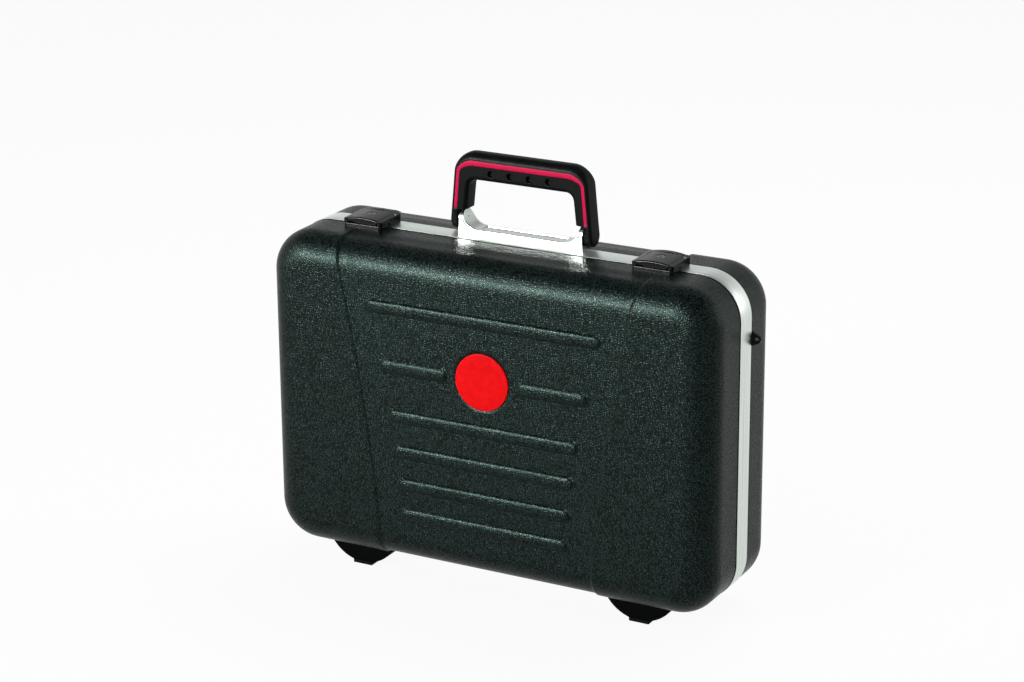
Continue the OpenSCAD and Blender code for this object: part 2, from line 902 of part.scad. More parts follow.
// Cam under the cylinder that turns with it
module lock_cam(sx) {
    color("#8d908e") translate([sx * latch_x, lock_y, flap_under - 0.6 - cam_t])
        linear_extrude(cam_t) round_bar(cam_l, 4);
}

module latch_holes() {
    for (sx = [-1, 1], k = [-1, 1])
        translate([sx * latch_x + k * latch_screw_x, latch_screw_y, z_high - wall - cut])
            cylinder(r = small_screw_r + fit, h = latch_floor - z_high + wall + 2 * cut);
}

module latch_screws() {
    color("#8d908e") for (sx = [-1, 1], k = [-1, 1])
        translate([sx * latch_x + k * latch_screw_x, latch_screw_y, 0]) {
            translate([0, 0, latch_floor]) cylinder(r = small_head_r, h = small_head_t);
            translate([0, 0, z_high - wall])
                cylinder(r = small_screw_r, h = latch_floor - z_high + wall);
        }
}

keeper_screw_y = (hook_y + hook_t + 0.3 + lip_t + y_rim) / 2;

module keeper_holes() {
    for (sx = [-1, 1], k = [-1, 1])
        translate([sx * latch_x + k * latch_screw_x * 2, keeper_screw_y, z_high - frame_in - cut])
            cylinder(r = small_screw_r + fit, h = frame_in + 2 + cut);
}

module keeper_screws() {
    color("#8d908e") for (sx = [-1, 1], k = [-1, 1])
        translate([sx * latch_x + k * latch_screw_x * 2, keeper_screw_y, 0]) {
            translate([0, 0, z_high + 1.2]) cylinder(r = small_head_r, h = small_head_t);
            translate([0, 0, z_high - frame_in])
                cylinder(r = small_screw_r, h = frame_in + 1.2);
        }
}

// ---- lid stays ----

// X-wise cylinder beside one wall, from x0 to x1 measured from the middle of the case
module side_rod(sx, x0, x1, y, z, r) {
    translate([sx * x0, y, z]) rotate([0, sx * 90, 0]) cylinder(r = r, h = x1 - x0);
}

// Post on the base shell's wall: foot, boss, pin and head, with the pin's tail in the wall
module stay_post(sx) {
    color("#a8aaa8") union() {
        side_rod(sx, stay_x + gap, case_w / 2 - wall, stay_y, stay_z, stay_boss_r);
        side_rod(sx, stay_x - stay_t - gap, stay_x + gap, stay_y, stay_z, stay_pin_r);
        side_rod(sx, stay_x - stay_t - gap - 1.5, stay_x - stay_t - gap, stay_y, stay_z, 4.2);
        side_rod(sx, case_w / 2 - wall, case_w / 2 - sleeve_in, stay_y, stay_z, stay_pin_r);
    }
}

module stay_post_holes() {
    for (sx = [-1, 1])
        side_rod(sx, case_w / 2 - wall - cut, case_w / 2 - sleeve_in + eps, stay_y, stay_z, stay_pin_r + fit);
}

// Arm with a bored end and a slider pin, leaning from its post to the lid's guide
module stay_arm(sx) {
    lean = asin((stay_y - stay_guide_y) / stay_len);
    color("#c0c3bf") translate([sx * (stay_x - stay_t), stay_y, stay_z]) rotate([lean, 0, 0])
        rotate([0, sx * 90, 0]) {
            difference() {
                linear_extrude(stay_t) translate([-sx * stay_len / 2, 0])
                    round_bar(stay_len + stay_w, stay_w);
                translate([0, 0, -cut]) cylinder(r = stay_pin_r + fit, h = stay_t + 2 * cut);
            }
            translate([-sx * stay_len, 0, stay_t - eps]) cylinder(r = slider_r, h = 0.9);
        }
}

guide_x = stay_x + 1.4;

// Slotted guide on two feet against the lid's wall
module stay_guide(sx) {
    len = guide_high - guide_low;
    mid = (guide_high + guide_low) / 2;
    foot_x0 = guide_x + guide_t;
    color("#b9bcb8") {
        translate([sx * guide_x, stay_guide_y, mid]) rotate([0, sx * 90, 0])
            linear_extrude(guide_t) difference() {
                round_bar(len, guide_w);
                round_bar(len - 10, guide_slot);
            }
        for (z = [guide_low + 3, guide_high - 3])
            side_rod(sx, foot_x0, case_w / 2 - frame_in, stay_guide_y, z, 2.4);
    }
}

// ---- strap eyes ----

module strap_lug(sx) {
    color("#0e0f0f") difference() {
        upright(lug_y, lug_y + lug_d) difference() {
            hull() {
                translate([sx * case_w / 2 - (sx > 0 ? 0 : eps), lug_z - lug_root / 2])
                    square([eps, lug_root]);
                translate([sx * (case_w / 2 + lug_out - lug_tip_r), lug_z]) circle(r = lug_tip_r);
            }
            translate([sx * (case_w / 2 + lug_out - lug_tip_r), lug_z]) circle(d = eye_dia);
        }
        lug_holes();
    }
}

module lug_holes() {
    for (sx = [-1, 1], k = [-1, 1])
        side_rod(sx, case_w / 2 - wall - cut, case_w / 2 + 1.6, lug_y + lug_d / 2, lug_z + k * 4, 1 + fit);
}

// Rivets that hold the strap eyes from inside
module lug_rivets() {
    color("#8d908e") for (sx = [-1, 1], k = [-1, 1]) {
        side_rod(sx, case_w / 2 - wall, case_w / 2 + 1.6, lug_y + lug_d / 2, lug_z + k * 4, 1);
        side_rod(sx, case_w / 2 - wall - 0.8, case_w / 2 - wall, lug_y + lug_d / 2, lug_z + k * 4, 2);
    }
}

// ---- assembly ----

base_shell();
base_frame();
base_tray();
base_dividers();
tray_studs();
lid_shell();
lid_frame();
lid_seal();
lid_board();
tool_pockets();
board_studs();
badge_disc();
hinge_leaf_base();
hinge_leaf_lid();
hinge_pin();
hinge_rivets_base();
hinge_rivets_lid();
foot(-1, -1);  // foot_lid_left
foot(-1, 1);  // foot_lid_right
foot(1, -1);  // foot_base_left
foot(1, 1);  // foot_base_right
foot_pads(-1);  // foot_pads_lid
foot_pads(1);  // foot_pads_base
foot_screws(-1);  // foot_screws_lid
foot_screws(1);  // foot_screws_base
handle_bracket();
bracket_screws();
handle_grip();
grip_inlay_front();
grip_inlay_rear();
handle_pin(-1);  // handle_pin_left
handle_pin(1);  // handle_pin_right
latch_body(-1);  // latch_body_left
latch_body(1);  // latch_body_right
latch_screws();
latch_flap(-1);  // latch_flap_left
latch_flap(1);  // latch_flap_right
flap_pin(-1);  // flap_pin_left
flap_pin(1);  // flap_pin_right
latch_claw(-1);  // latch_claw_left
latch_claw(1);  // latch_claw_right
claw_pins(-1);  // claw_pins_left
claw_pins(1);  // claw_pins_right
latch_keeper(-1);  // latch_keeper_left
latch_keeper(1);  // latch_keeper_right
keeper_screws();
lock_cylinder(-1);  // lock_cylinder_left
lock_cylinder(1);  // lock_cylinder_right
lock_cam(-1);  // lock_cam_left
lock_cam(1);  // lock_cam_right
stay_post(-1);  // stay_post_left
stay_post(1);  // stay_post_right
stay_arm(-1);  // stay_arm_left
stay_arm(1);  // stay_arm_right
stay_guide(-1);  // stay_guide_left
stay_guide(1);  // stay_guide_right
strap_lug(-1);  // strap_lug_left
strap_lug(1);  // strap_lug_right
lug_rivets();
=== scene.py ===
# %% [markdown]
# # A hard tool case, from the frame to the picture
# The case stands on its feet with the lid to the front: two moulded shells that meet at an
# aluminium band, a folding handle in a die-cast bracket, and two draw latches. The frame from CAD
# already has every piece in place and every joint. Here the larger surfaces are worked out again
# with numpy, and the smaller pieces are copies with rounded edges. Sizes in this file are
# millimetres until the moment that they go into a mesh.

# %% The frame
import math

import bmesh
import bpy
import numpy as np
from mathutils import Matrix


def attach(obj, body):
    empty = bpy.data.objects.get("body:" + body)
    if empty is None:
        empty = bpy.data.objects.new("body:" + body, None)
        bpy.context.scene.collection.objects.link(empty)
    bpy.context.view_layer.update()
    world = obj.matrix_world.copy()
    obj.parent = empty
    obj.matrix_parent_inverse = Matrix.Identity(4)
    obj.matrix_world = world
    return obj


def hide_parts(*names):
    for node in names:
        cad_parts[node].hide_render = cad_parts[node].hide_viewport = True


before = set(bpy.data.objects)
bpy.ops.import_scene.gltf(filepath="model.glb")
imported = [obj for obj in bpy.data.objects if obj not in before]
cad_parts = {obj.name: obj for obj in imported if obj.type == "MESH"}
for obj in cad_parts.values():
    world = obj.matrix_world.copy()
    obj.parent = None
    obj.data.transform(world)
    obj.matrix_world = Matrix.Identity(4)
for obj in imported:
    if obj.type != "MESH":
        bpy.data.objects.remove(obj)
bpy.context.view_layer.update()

MM = 0.001

# %% [markdown]
# ## The view
# The photograph looks down on the case from its right front. Its camera could be guessed by eye,
# but a fit is surer. Rib ends, the badge's outline and six edges were fitted, which gave a camera
# with a strongly shifted lens. The values here are an ordinary camera that comes near it: 3.5
# pixels rms and 7.8 at most over points of the case. In the picture its outline is 2.6 rms off.

# %% The camera
FOCAL_PX, PICTURE_PX, SENSOR = 2904.3, 1024, 36.0
AZIMUTH, ELEVATION, ROLL = math.radians(28.70), math.radians(18.73), math.radians(-0.42)
EYE = (1244.4, -2281.4, 1123.6)


def camera_axes(azimuth, elevation, roll):
    """Right, up and backward unit vectors: the backward one points from the case to the eye."""
    back = np.array([math.sin(azimuth) * math.cos(elevation), -math.cos(azimuth) * math.cos(elevation),
                     math.sin(elevation)])
    right = np.array([math.cos(azimuth), math.sin(azimuth), 0.0])
    up = np.cross(back, right)
    return math.cos(roll) * right + math.sin(roll) * up, math.cos(roll) * up - math.sin(roll) * right, back


scene = bpy.context.scene
lens = bpy.data.cameras.new("view")
lens.sensor_width = SENSOR
lens.lens = FOCAL_PX * SENSOR / PICTURE_PX
lens.clip_end = 50
eye = bpy.data.objects.new("view", lens)
scene.collection.objects.link(eye)
axes = Matrix(np.array(camera_axes(AZIMUTH, ELEVATION, ROLL)).T.tolist()).to_4x4()
eye.matrix_world = Matrix.Translation([v * MM for v in EYE]) @ axes
scene.camera = eye
print(f"camera: {lens.lens:.1f} mm lens, {math.dist(EYE, (0, 0, 200)):.0f} mm away")

# %% [markdown]
# ## Colour and nodes
# A hex colour is what a screen shows. Blender adds light in linear numbers, so one function turns
# the first into the second. A second one adds a node with its settings and links.

# %% Two helpers for materials


def colour(code):
    """Linear colour of an sRGB hex code: c/12.92 near black, else ((c + 0.055) / 1.055) to the 2.4."""
    c = np.array([int(code[i : i + 2], 16) / 255 for i in (1, 3, 5)])
    linear = np.where(c <= 0.04045, c / 12.92, ((c + 0.055) / 1.055) ** 2.4)
    return (*linear.tolist(), 1.0)


def add(tree, kind, sockets=None, stops=(), **settings):
    """Adds one node. sockets maps an input's name or number to a value or to another node's output,
    and stops are the positions and linear colours of a node that has a ramp."""
    made = tree.nodes.new(kind)
    for name, value in settings.items():
        setattr(made, name, value)
    for name, value in (sockets or {}).items():
        if isinstance(value, bpy.types.NodeSocket):
            tree.links.new(value, made.inputs[name])
        else:
            made.inputs[name].default_value = value
    for index, (where, what) in enumerate(stops):
        point = made.color_ramp.elements[index] if index < 2 else made.color_ramp.elements.new(where)
        point.position, point.color = where, what
    return made


def empty_finish(name):
    """A new material and its cleared node tree."""
    made = bpy.data.materials.new(name)
    made.use_nodes = True
    made.node_tree.nodes.clear()
    return made, made.node_tree


# %% [markdown]
# ## Light
# A product photograph of a black case is lit by what the case reflects. A wide softbox stands at
# the front left. A narrow one is on the right for the corner, one above lights the top and is
# hidden from reflections, and a weak sky fills the rest. Camera, glossy and
# transmission rays see a white room, so metal shows the white that the picture has behind the case.
# Its ceiling is grey, as in a studio, which is what leaves the dark band above the bright one.

# %% World, softboxes and floor
SKY, CEILING, WALL_TOP = 0.32, 0.12, (0.48, 0.66)
FLOOR_WHITE, HALF_FLOOR = 0.93, 6.0
scene.view_settings.view_transform = "Standard"
world = bpy.data.worlds.new("white_studio")
scene.world = world
world.use_nodes = True
room = world.node_tree
room.nodes.clear()
ray = add(room, "ShaderNodeLightPath")
seen = add(room, "ShaderNodeMath", {0: ray.outputs["Is Camera Ray"], 1: ray.outputs["Is Glossy Ray"]},
           operation="MAXIMUM")
seen = add(room, "ShaderNodeMath", {0: seen.outputs[0], 1: ray.outputs["Is Transmission Ray"]},
           operation="MAXIMUM")
way = add(room, "ShaderNodeSeparateXYZ", {0: add(room, "ShaderNodeTexCoord").outputs["Generated"]})
wall = add(room, "ShaderNodeMapRange", {"Value": way.outputs["Z"], "From Min": WALL_TOP[0],
                                        "From Max": WALL_TOP[1], "To Min": 1.0, "To Max": CEILING},
           interpolation_type="SMOOTHSTEP")
level = add(room, "ShaderNodeMix", {0: seen.outputs[0], 2: SKY, 3: wall.outputs[0]})
sky = add(room, "ShaderNodeBackground", {"Color": colour("#ffffff"), "Strength": level.outputs[0]})
add(room, "ShaderNodeOutputWorld", {"Surface": sky.outputs[0]})


def softbox(name, place, target, width, height, watts):
    """A rectangular lamp at place that faces target, all in millimetres."""
    lamp = bpy.data.lights.new(name, "AREA")
    lamp.shape, lamp.size, lamp.size_y, lamp.energy = "RECTANGLE", width * MM, height * MM, watts
    holder = bpy.data.objects.new(name, lamp)
    scene.collection.objects.link(holder)
    away = (np.array(place, float) - target) / math.dist(place, target)
    right = np.cross([0, 0, 1.0], away)
    right /= np.linalg.norm(right)
    turn = Matrix(np.array([right, np.cross(away, right), away]).T.tolist()).to_4x4()
    holder.matrix_world = Matrix.Translation([v * MM for v in place]) @ turn
    return holder


# The glint is nearly the same box again, for reflections alone. The band along the upper front edge
# comes mostly from it.
softbox("front_softbox", (-1290, -2400, 1080), (0, -40, 290), 1250, 460, 50)
glint = softbox("front_glint", (-1300, -2420, 1085), (0, -40, 290), 1250, 460, 330)
glint.visible_diffuse = False
softbox("right_softbox", (1900, 1500, 1000), (0, 0, 200), 500, 1200, 12)
top = softbox("top_softbox", (200, 900, 2100), (0, 0, 200), 1500, 900, 22)
top.visible_glossy = False

floor_finish, tree = empty_finish("paper_pale_floor")
ray = add(tree, "ShaderNodeLightPath")
paper = add(tree, "ShaderNodeBsdfDiffuse", {"Color": colour("#f0f0f0")})
white = add(tree, "ShaderNodeEmission", {"Color": colour("#ffffff"), "Strength": 1.0})
seen = add(tree, "ShaderNodeMath", {0: ray.outputs["Is Camera Ray"], 1: ray.outputs["Is Glossy Ray"]},
           operation="MAXIMUM")
seen = add(tree, "ShaderNodeMath", {0: seen.outputs[0], 1: ray.outputs["Is Transmission Ray"]},
           operation="MAXIMUM")
share = add(tree, "ShaderNodeMath", {0: seen.outputs[0], 1: FLOOR_WHITE}, operation="MULTIPLY")
both = add(tree, "ShaderNodeMixShader", {0: share.outputs[0], 1: paper.outputs[0], 2: white.outputs[0]})
add(tree, "ShaderNodeOutputMaterial", {"Surface": both.outputs[0]})
floor_mesh = bpy.data.meshes.new("studio_floor")
floor_mesh.from_pydata([(-HALF_FLOOR, -HALF_FLOOR, 0), (HALF_FLOOR, -HALF_FLOOR, 0),
                        (HALF_FLOOR, HALF_FLOOR, 0), (-HALF_FLOOR, HALF_FLOOR, 0)], [], [(0, 1, 2, 3)])
floor_mesh.materials.append(floor_finish)
floor = bpy.data.objects.new("studio_floor", floor_mesh)
scene.collection.objects.link(floor)
print("light: 4 softboxes, floor", 2 * HALF_FLOOR, "m wide")

# %% [markdown]
# ## Finishes
# Each one starts from what the real material is. Both shells are ABS pressed in a grained mould:
# a dark, slightly green grey whose little flat hills catch the softbox, with steep pits between
# them that break up every reflection. The real hills are about 1 mm wide. They are drawn 2.1 mm
# wide here, because the picture has only one pixel per millimetre. The hills are painted lighter and
# the pits darker as well, a painted sparkle and painted shade, because the bump alone is too faint to
# show. All blacks have specular levels far below real plastic, because the white room shows in
# every one of them.

# %% Grained ABS of the shells
GRAIN = 2.1
grain_and_sparkle_abs, tree = empty_finish("abs_black_moulded_grain_and_sparkle")
place = add(tree, "ShaderNodeTexCoord").outputs["Object"]
cells = add(tree, "ShaderNodeTexVoronoi", {"Vector": place, "Scale": 1 / (GRAIN * MM)},
            feature="DISTANCE_TO_EDGE")
hills = add(tree, "ShaderNodeMapRange", {"Value": cells.outputs["Distance"], "From Min": 0.02,
                                         "From Max": 0.30}, interpolation_type="SMOOTHSTEP")
fine = add(tree, "ShaderNodeTexNoise", {"Vector": place, "Scale": 1 / (1.1 * MM), "Detail": 2.0})
height = add(tree, "ShaderNodeMath", {0: fine.outputs[0], 1: 0.3, 2: hills.outputs[0]},
             operation="MULTIPLY_ADD")
grain_bump = add(tree, "ShaderNodeBump", {"Height": height.outputs[0], "Strength": 0.7, "Distance": 0.0002})
# Painted highlight and painted shade: the tone follows the grain's height, lighter on the hills' tops and
# darker in the pits.
tone = add(tree, "ShaderNodeValToRGB", {0: height.outputs[0]},
           stops=((0.20, colour("#010202")), (0.70, colour("#0b1110")), (1.0, colour("#22312f"))))
rough = add(tree, "ShaderNodeMapRange", {"Value": height.outputs[0], "To Min": 0.38, "To Max": 0.27})
abs_shader = add(tree, "ShaderNodeBsdfPrincipled", {
    "Base Color": tone.outputs[0], "Roughness": rough.outputs[0], "IOR": 1.5,
    "Specular IOR Level": 0.085, "Specular Tint": colour("#d4fff2"), "Normal": grain_bump.outputs[0]})
add(tree, "ShaderNodeOutputMaterial", {"Surface": abs_shader.outputs[0]})

# %% [markdown]
# The band is drawn aluminium, anodised without colour. Drawing leaves fine lines along its length,
# so the lines have to follow the band round the case. The piece's UV map gives them their
# direction: U runs round the case and V across the band, both in metres.

# %% Drawn anodised aluminium
LINE_PITCH = 1.1
anodised, tree = empty_finish("aluminium_drawn_anodised")
along = add(tree, "ShaderNodeUVMap", uv_map="flow")
drawn = add(tree, "ShaderNodeMapping", {"Vector": along.outputs[0],
                                        "Scale": (6.0, 1 / (LINE_PITCH * MM), 1.0)})
draw_lines = add(tree, "ShaderNodeTexNoise", {"Vector": drawn.outputs[0], "Scale": 1.0, "Detail": 3.0})
tone = add(tree, "ShaderNodeValToRGB", {0: draw_lines.outputs[0]},
           stops=((0.30, colour("#b9c1ba")), (0.70, colour("#e2e8e3"))))
rough = add(tree, "ShaderNodeMapRange", {"Value": draw_lines.outputs[0], "To Min": 0.30, "To Max": 0.46})
scratch = add(tree, "ShaderNodeBump", {"Height": draw_lines.outputs[0], "Strength": 0.25, "Distance": 0.0001})
metal = add(tree, "ShaderNodeBsdfPrincipled", {"Base Color": tone.outputs[0], "Metallic": 1.0,
                                               "Roughness": rough.outputs[0], "Normal": scratch.outputs[0]})
add(tree, "ShaderNodeOutputMaterial", {"Surface": metal.outputs[0]})

# %% [markdown]
# The smaller pieces share a build: a cloud of noise that moves the tone, the gloss and the height
# together, so that none of them is a single flat colour. What differs is the real material, and so
# the tone, the size of the specks and the gloss.

# %% Plastics and rubbers


def speckled(name, dark, light, size, roughness, depth, gloss=0.5, metallic=0.0):
    """Plastic or metal whose tone runs from dark to light in specks of the given size, with a bump
    of the given depth; size and depth are in millimetres, roughness is a pair. gloss is the
    specular level: what the surface reflects head on is 8 % of it, 0.5 being bare polished plastic."""
    made, tree = empty_finish(name)
    place = add(tree, "ShaderNodeTexCoord").outputs["Object"]
    specks = add(tree, "ShaderNodeTexNoise", {"Vector": place, "Scale": 1 / (size * MM), "Detail": 3.0})
    tone = add(tree, "ShaderNodeValToRGB", {0: specks.outputs[0]},
               stops=((0.35, colour(dark)), (0.65, colour(light))))
    rough = add(tree, "ShaderNodeMapRange", {"Value": specks.outputs[0], "From Min": 0.3, "From Max": 0.7,
                                             "To Min": roughness[0], "To Max": roughness[1]})
    bump = add(tree, "ShaderNodeBump", {"Height": specks.outputs[0], "Strength": 0.6, "Distance": depth * MM})
    shader = add(tree, "ShaderNodeBsdfPrincipled", {
        "Base Color": tone.outputs[0], "Roughness": rough.outputs[0], "Metallic": metallic,
        "Specular IOR Level": gloss, "Normal": bump.outputs[0]})
    add(tree, "ShaderNodeOutputMaterial", {"Surface": shader.outputs[0]})
    return made


grip_plastic = speckled("polypropylene_satin_grip", "#050707", "#0f1413", 1.3, (0.36, 0.50), 0.25, 0.035)
cover_plastic = speckled("abs_semi_gloss_latch_cover", "#050707", "#0d1110", 0.9, (0.22, 0.30), 0.008, 0.08)
foot_plastic = speckled("polyamide_matt_foot", "#020303", "#070808", 1.3, (0.5, 0.65), 0.08, 0.01)
pad_rubber = speckled("rubber_black_pad", "#020202", "#060606", 1.0, (0.7, 0.85), 0.08, 0.03)
seal_rubber = speckled("rubber_black_seal", "#020202", "#050505", 1.0, (0.7, 0.85), 0.05, 0.03)
tray_plastic = speckled("polystyrene_black_tray", "#141718", "#212526", 1.4, (0.42, 0.55), 0.08, 0.2)
divider_plastic = speckled("polystyrene_grey_divider", "#7d8283", "#93999a", 1.6, (0.45, 0.6), 0.05, 0.3)
badge_gloss = speckled("polycarbonate_red_badge", "#e60a10", "#f20f14", 6.0, (0.30, 0.38), 0.005, 0.03)
stripe_plastic = speckled("elastomer_crimson_stripe", "#cf0c46", "#dd1452", 1.2, (0.42, 0.55), 0.05, 0.04)

# %% [markdown]
# Metals: the bracket is zinc die-cast, tumbled to a satin, so it is soft and even with no
# direction. Screws, hinge and stays are zinc plated steel, a little bluer and rougher. That the draw
# claws are blackened steel is a guess, and their black is also painted shade: it keeps the gap
# under a flap dark.

# %% Die-cast zinc, plated steel and the nickel lock
die_cast = speckled("zinc_die_cast_satin", "#a2a9a2", "#b9bfba", 0.9, (0.17, 0.25), 0.005, metallic=1.0)
plated_steel = speckled("steel_zinc_plated", "#9fa3a4", "#bfc2c1", 2.5, (0.26, 0.42), 0.02, metallic=1.0)
# The claws' black: a guessed finish, and painted shade in the gap under each flap.
black_steel_gap_shade = speckled("steel_black_oxide_and_gap_shade", "#0a0b0b", "#161818", 1.5, (0.45, 0.6), 0.02, 0.1)
dark_nickel = speckled("nickel_dark_satin_lock", "#3b3f3e", "#565b59", 0.7, (0.28, 0.4), 0.02, metallic=1.0)

# %% [markdown]
# The inside is a guess: the lid is lined with woven cloth glued to a board, and the tool pockets are
# of a lighter one. A weave is two sets of threads that cross, so its height is the larger of two
# waves, one along X and one along Z. The threads are drawn coarse, so that they show.

# %% Woven lining cloth


def woven(name, dark, light, pitch):
    """Cloth in the XZ plane with threads at the given pitch in millimetres: the height is the
    larger of two sine waves, and the tone follows it under a cloud of noise."""
    made, tree = empty_finish(name)
    place = add(tree, "ShaderNodeTexCoord").outputs["Object"]
    wave = {"Vector": place, "Scale": 0.314 / (pitch * MM), "Distortion": 0.3}
    warp = add(tree, "ShaderNodeTexWave", wave, bands_direction="X")
    weft = add(tree, "ShaderNodeTexWave", wave, bands_direction="Z")
    thread = add(tree, "ShaderNodeMath", {0: warp.outputs["Fac"], 1: weft.outputs["Fac"]},
                 operation="MAXIMUM")
    fuzz = add(tree, "ShaderNodeTexNoise", {"Vector": place, "Scale": 1 / (5 * MM), "Detail": 4.0})
    mixed = add(tree, "ShaderNodeMath", {0: thread.outputs[0], 1: fuzz.outputs[0]}, operation="MULTIPLY")
    tone = add(tree, "ShaderNodeValToRGB", {0: mixed.outputs[0]},
               stops=((0.1, colour(dark)), (0.7, colour(light))))
    bump = add(tree, "ShaderNodeBump", {"Height": thread.outputs[0], "Strength": 0.7, "Distance": 0.0003})
    shader = add(tree, "ShaderNodeBsdfPrincipled", {"Base Color": tone.outputs[0], "Roughness": 0.85,
                                                    "Sheen Weight": 0.25, "Normal": bump.outputs[0]})
    add(tree, "ShaderNodeOutputMaterial", {"Surface": shader.outputs[0]})
    return made


board_cloth = woven("cloth_lining_on_board", "#16181a", "#303438", 1.6)
pocket_cloth = woven("cloth_woven_pockets", "#23272a", "#474d52", 2.0)
print("finishes:", len(bpy.data.materials))

# %% [markdown]
# ## From arrays to a piece
# Every surface below is an array of points and some arrays of faces. One function puts them into a
# mesh, one merges the points that coincide, such as the poles of a corner, and turns the faces
# outwards, and one hangs the piece on its body in place of the CAD nodes that it stands for.

# %% Arrays into meshes
WELD = 1e-6
SHARP = math.radians(38)


def grid(rows, columns, closed_rows=False, closed_columns=False, first=0):
    """Quads between neighbours of a rows by columns grid of points, numbered from first; a closed
    direction joins its last line to its first."""
    i = np.arange(rows if closed_rows else rows - 1)[:, None]
    j = np.arange(columns if closed_columns else columns - 1)[None, :]
    i2, j2 = (i + 1) % rows, (j + 1) % columns
    ring = np.stack([i * columns + j, i * columns + j2, i2 * columns + j2, i2 * columns + j], axis=-1)
    return ring.reshape(-1, 4) + first


def fill_mesh(name, points, faces, flow=None):
    """Mesh from points in millimetres and a list of face arrays, one array per number of corners.
    flow is an optional UV in metres for each point."""
    mesh = bpy.data.meshes.new(name)
    corners = np.concatenate([np.asarray(f).ravel() for f in faces]).astype(np.int32)
    sizes = np.concatenate([np.full(len(f), np.asarray(f).shape[1]) for f in faces])
    mesh.vertices.add(len(points))
    mesh.vertices.foreach_set("co", (np.asarray(points, float) * MM).ravel().astype(np.float32))
    mesh.loops.add(len(corners))
    mesh.loops.foreach_set("vertex_index", corners)
    mesh.polygons.add(len(sizes))
    mesh.polygons.foreach_set("loop_start", (np.cumsum(sizes) - sizes).astype(np.int32))
    mesh.update(calc_edges=True)
    if flow is not None:
        layer = mesh.uv_layers.new(name="flow")
        layer.data.foreach_set("uv", np.asarray(flow, np.float32)[corners].ravel())
    return mesh


def tube(name, surface, capped=True):
    """Mesh of stations by columns of points whose columns close to a ring. capped adds a flat face at
    the first and at the last station."""
    rows, columns = surface.shape[:2]
    ring = np.arange(columns)[None, :]
    ends = [ring, ring + (rows - 1) * columns] if capped else []
    return fill_mesh(name, surface.reshape(-1, 3), [grid(rows, columns, closed_columns=True), *ends])


def tidy(mesh, sharp=SHARP):
    """Merges doubles, drops faces that lost their area, turns faces outwards and marks sharp edges."""
    work = bmesh.new()
    work.from_mesh(mesh)
    bmesh.ops.remove_doubles(work, verts=work.verts, dist=WELD)
    bmesh.ops.dissolve_degenerate(work, edges=work.edges, dist=WELD * 0.1)
    bmesh.ops.recalc_face_normals(work, faces=work.faces)
    for edge in work.edges:
        edge.smooth = len(edge.link_faces) != 2 or edge.calc_face_angle() < sharp
    for face in work.faces:
        face.smooth = True
    work.to_mesh(mesh)
    work.free()
    return mesh


def hang(name, mesh, body, finish, slot_name, *stands_for):
    """Makes the object, gives it its finish and body, and hides the CAD nodes that it stands for."""
    mesh.materials.clear()
    mesh.materials.append(finish)
    piece = bpy.data.objects.new(name, mesh)
    scene.collection.objects.link(piece)
    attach(piece, body)
    if stands_for:
        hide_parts(*stands_for)
    return piece


# %% [markdown]
# ## The case's outline
# Seen from the front, the case is a rectangle with round corners. Every ring round it can be
# written in one line: a point's anchor lies on an inner rectangle, and its outward direction is
# square to a side or fans out at a corner. The ring at inset d is anchor + (R - d) x outward.

# %% The path round the case
CASE_W, CORNER_R, EDGE_R = 470.0, 41.0, 28.0
Z_LOW, Z_HIGH = 22.5, 338.5
Y_FRONT, Y_BACK, Y_PART, Y_BAND = -69.5, 69.5, -8.5, 14.5
Y_RIM = Y_PART - 1.2
WALL = 3.2
PANEL_SINK = 1.6
INNER_X = CASE_W / 2 - CORNER_R
INNER_Z = (Z_LOW + CORNER_R, Z_HIGH - CORNER_R)


def around(xs, zs, per_corner):
    """Anchors and outward directions of the path, (n, 2) each in X and Z: the underside from left
    to right, the right side, the top and the left side, with per_corner steps in each corner."""
    turn = np.radians(np.linspace(0, 90, per_corner + 1)[1:-1])
    low, high = INNER_Z
    lines = [np.stack([xs, np.full(len(xs), low)], 1), np.stack([np.full(len(zs), INNER_X), zs], 1),
             np.stack([xs[::-1], np.full(len(xs), high)], 1),
             np.stack([np.full(len(zs), -INNER_X), zs[::-1]], 1)]
    centres = [(INNER_X, low), (INNER_X, high), (-INNER_X, high), (-INNER_X, low)]
    anchors, outs = [], []
    for line, centre, start in zip(lines, centres, np.radians([-90, 0, 90, 180])):
        anchors += [line, np.tile(centre, (len(turn), 1))]
        outs += [np.tile([math.cos(start), math.sin(start)], (len(line), 1)),
                 np.stack([np.cos(start + turn), np.sin(start + turn)], 1)]
    return np.concatenate(anchors), np.concatenate(outs)


def rings(path, profile):
    """Surface that a profile of (inset, y) rows makes round the path: anchor + (R - inset) x outward."""
    anchors, outs = path
    inset, y = np.asarray(profile, float).T
    flat = anchors[None] + (CORNER_R - inset)[:, None, None] * outs[None]
    return np.stack([flat[..., 0], np.broadcast_to(y[:, None], flat.shape[:2]), flat[..., 1]], axis=-1)


def arc(centre_inset, centre_y, radius, start, end, steps):
    """Profile rows on an arc: inset = centre - r sin a, y = centre + r cos a, a in degrees."""
    a = np.radians(np.linspace(start, end, steps + 1))
    return np.stack([centre_inset - radius * np.sin(a), centre_y + radius * np.cos(a)], 1)


PLAIN_PATH = around(np.array([-INNER_X, INNER_X]), np.array(INNER_Z), 18)
print("plain path:", len(PLAIN_PATH[0]), "points")

# %% [markdown]
# ## The two shells
# A shell is one skin: a fine grid on its flat face, rings that carry on over the rounded edge and
# down the side, the rim, and the inner wall with its floor. The pressed panel, the ribs and the
# badge's seat are a height that is added along the surface's own direction, so the panel's edge
# can run over the rounding as it does on the real case. The grid is dense only where they are.

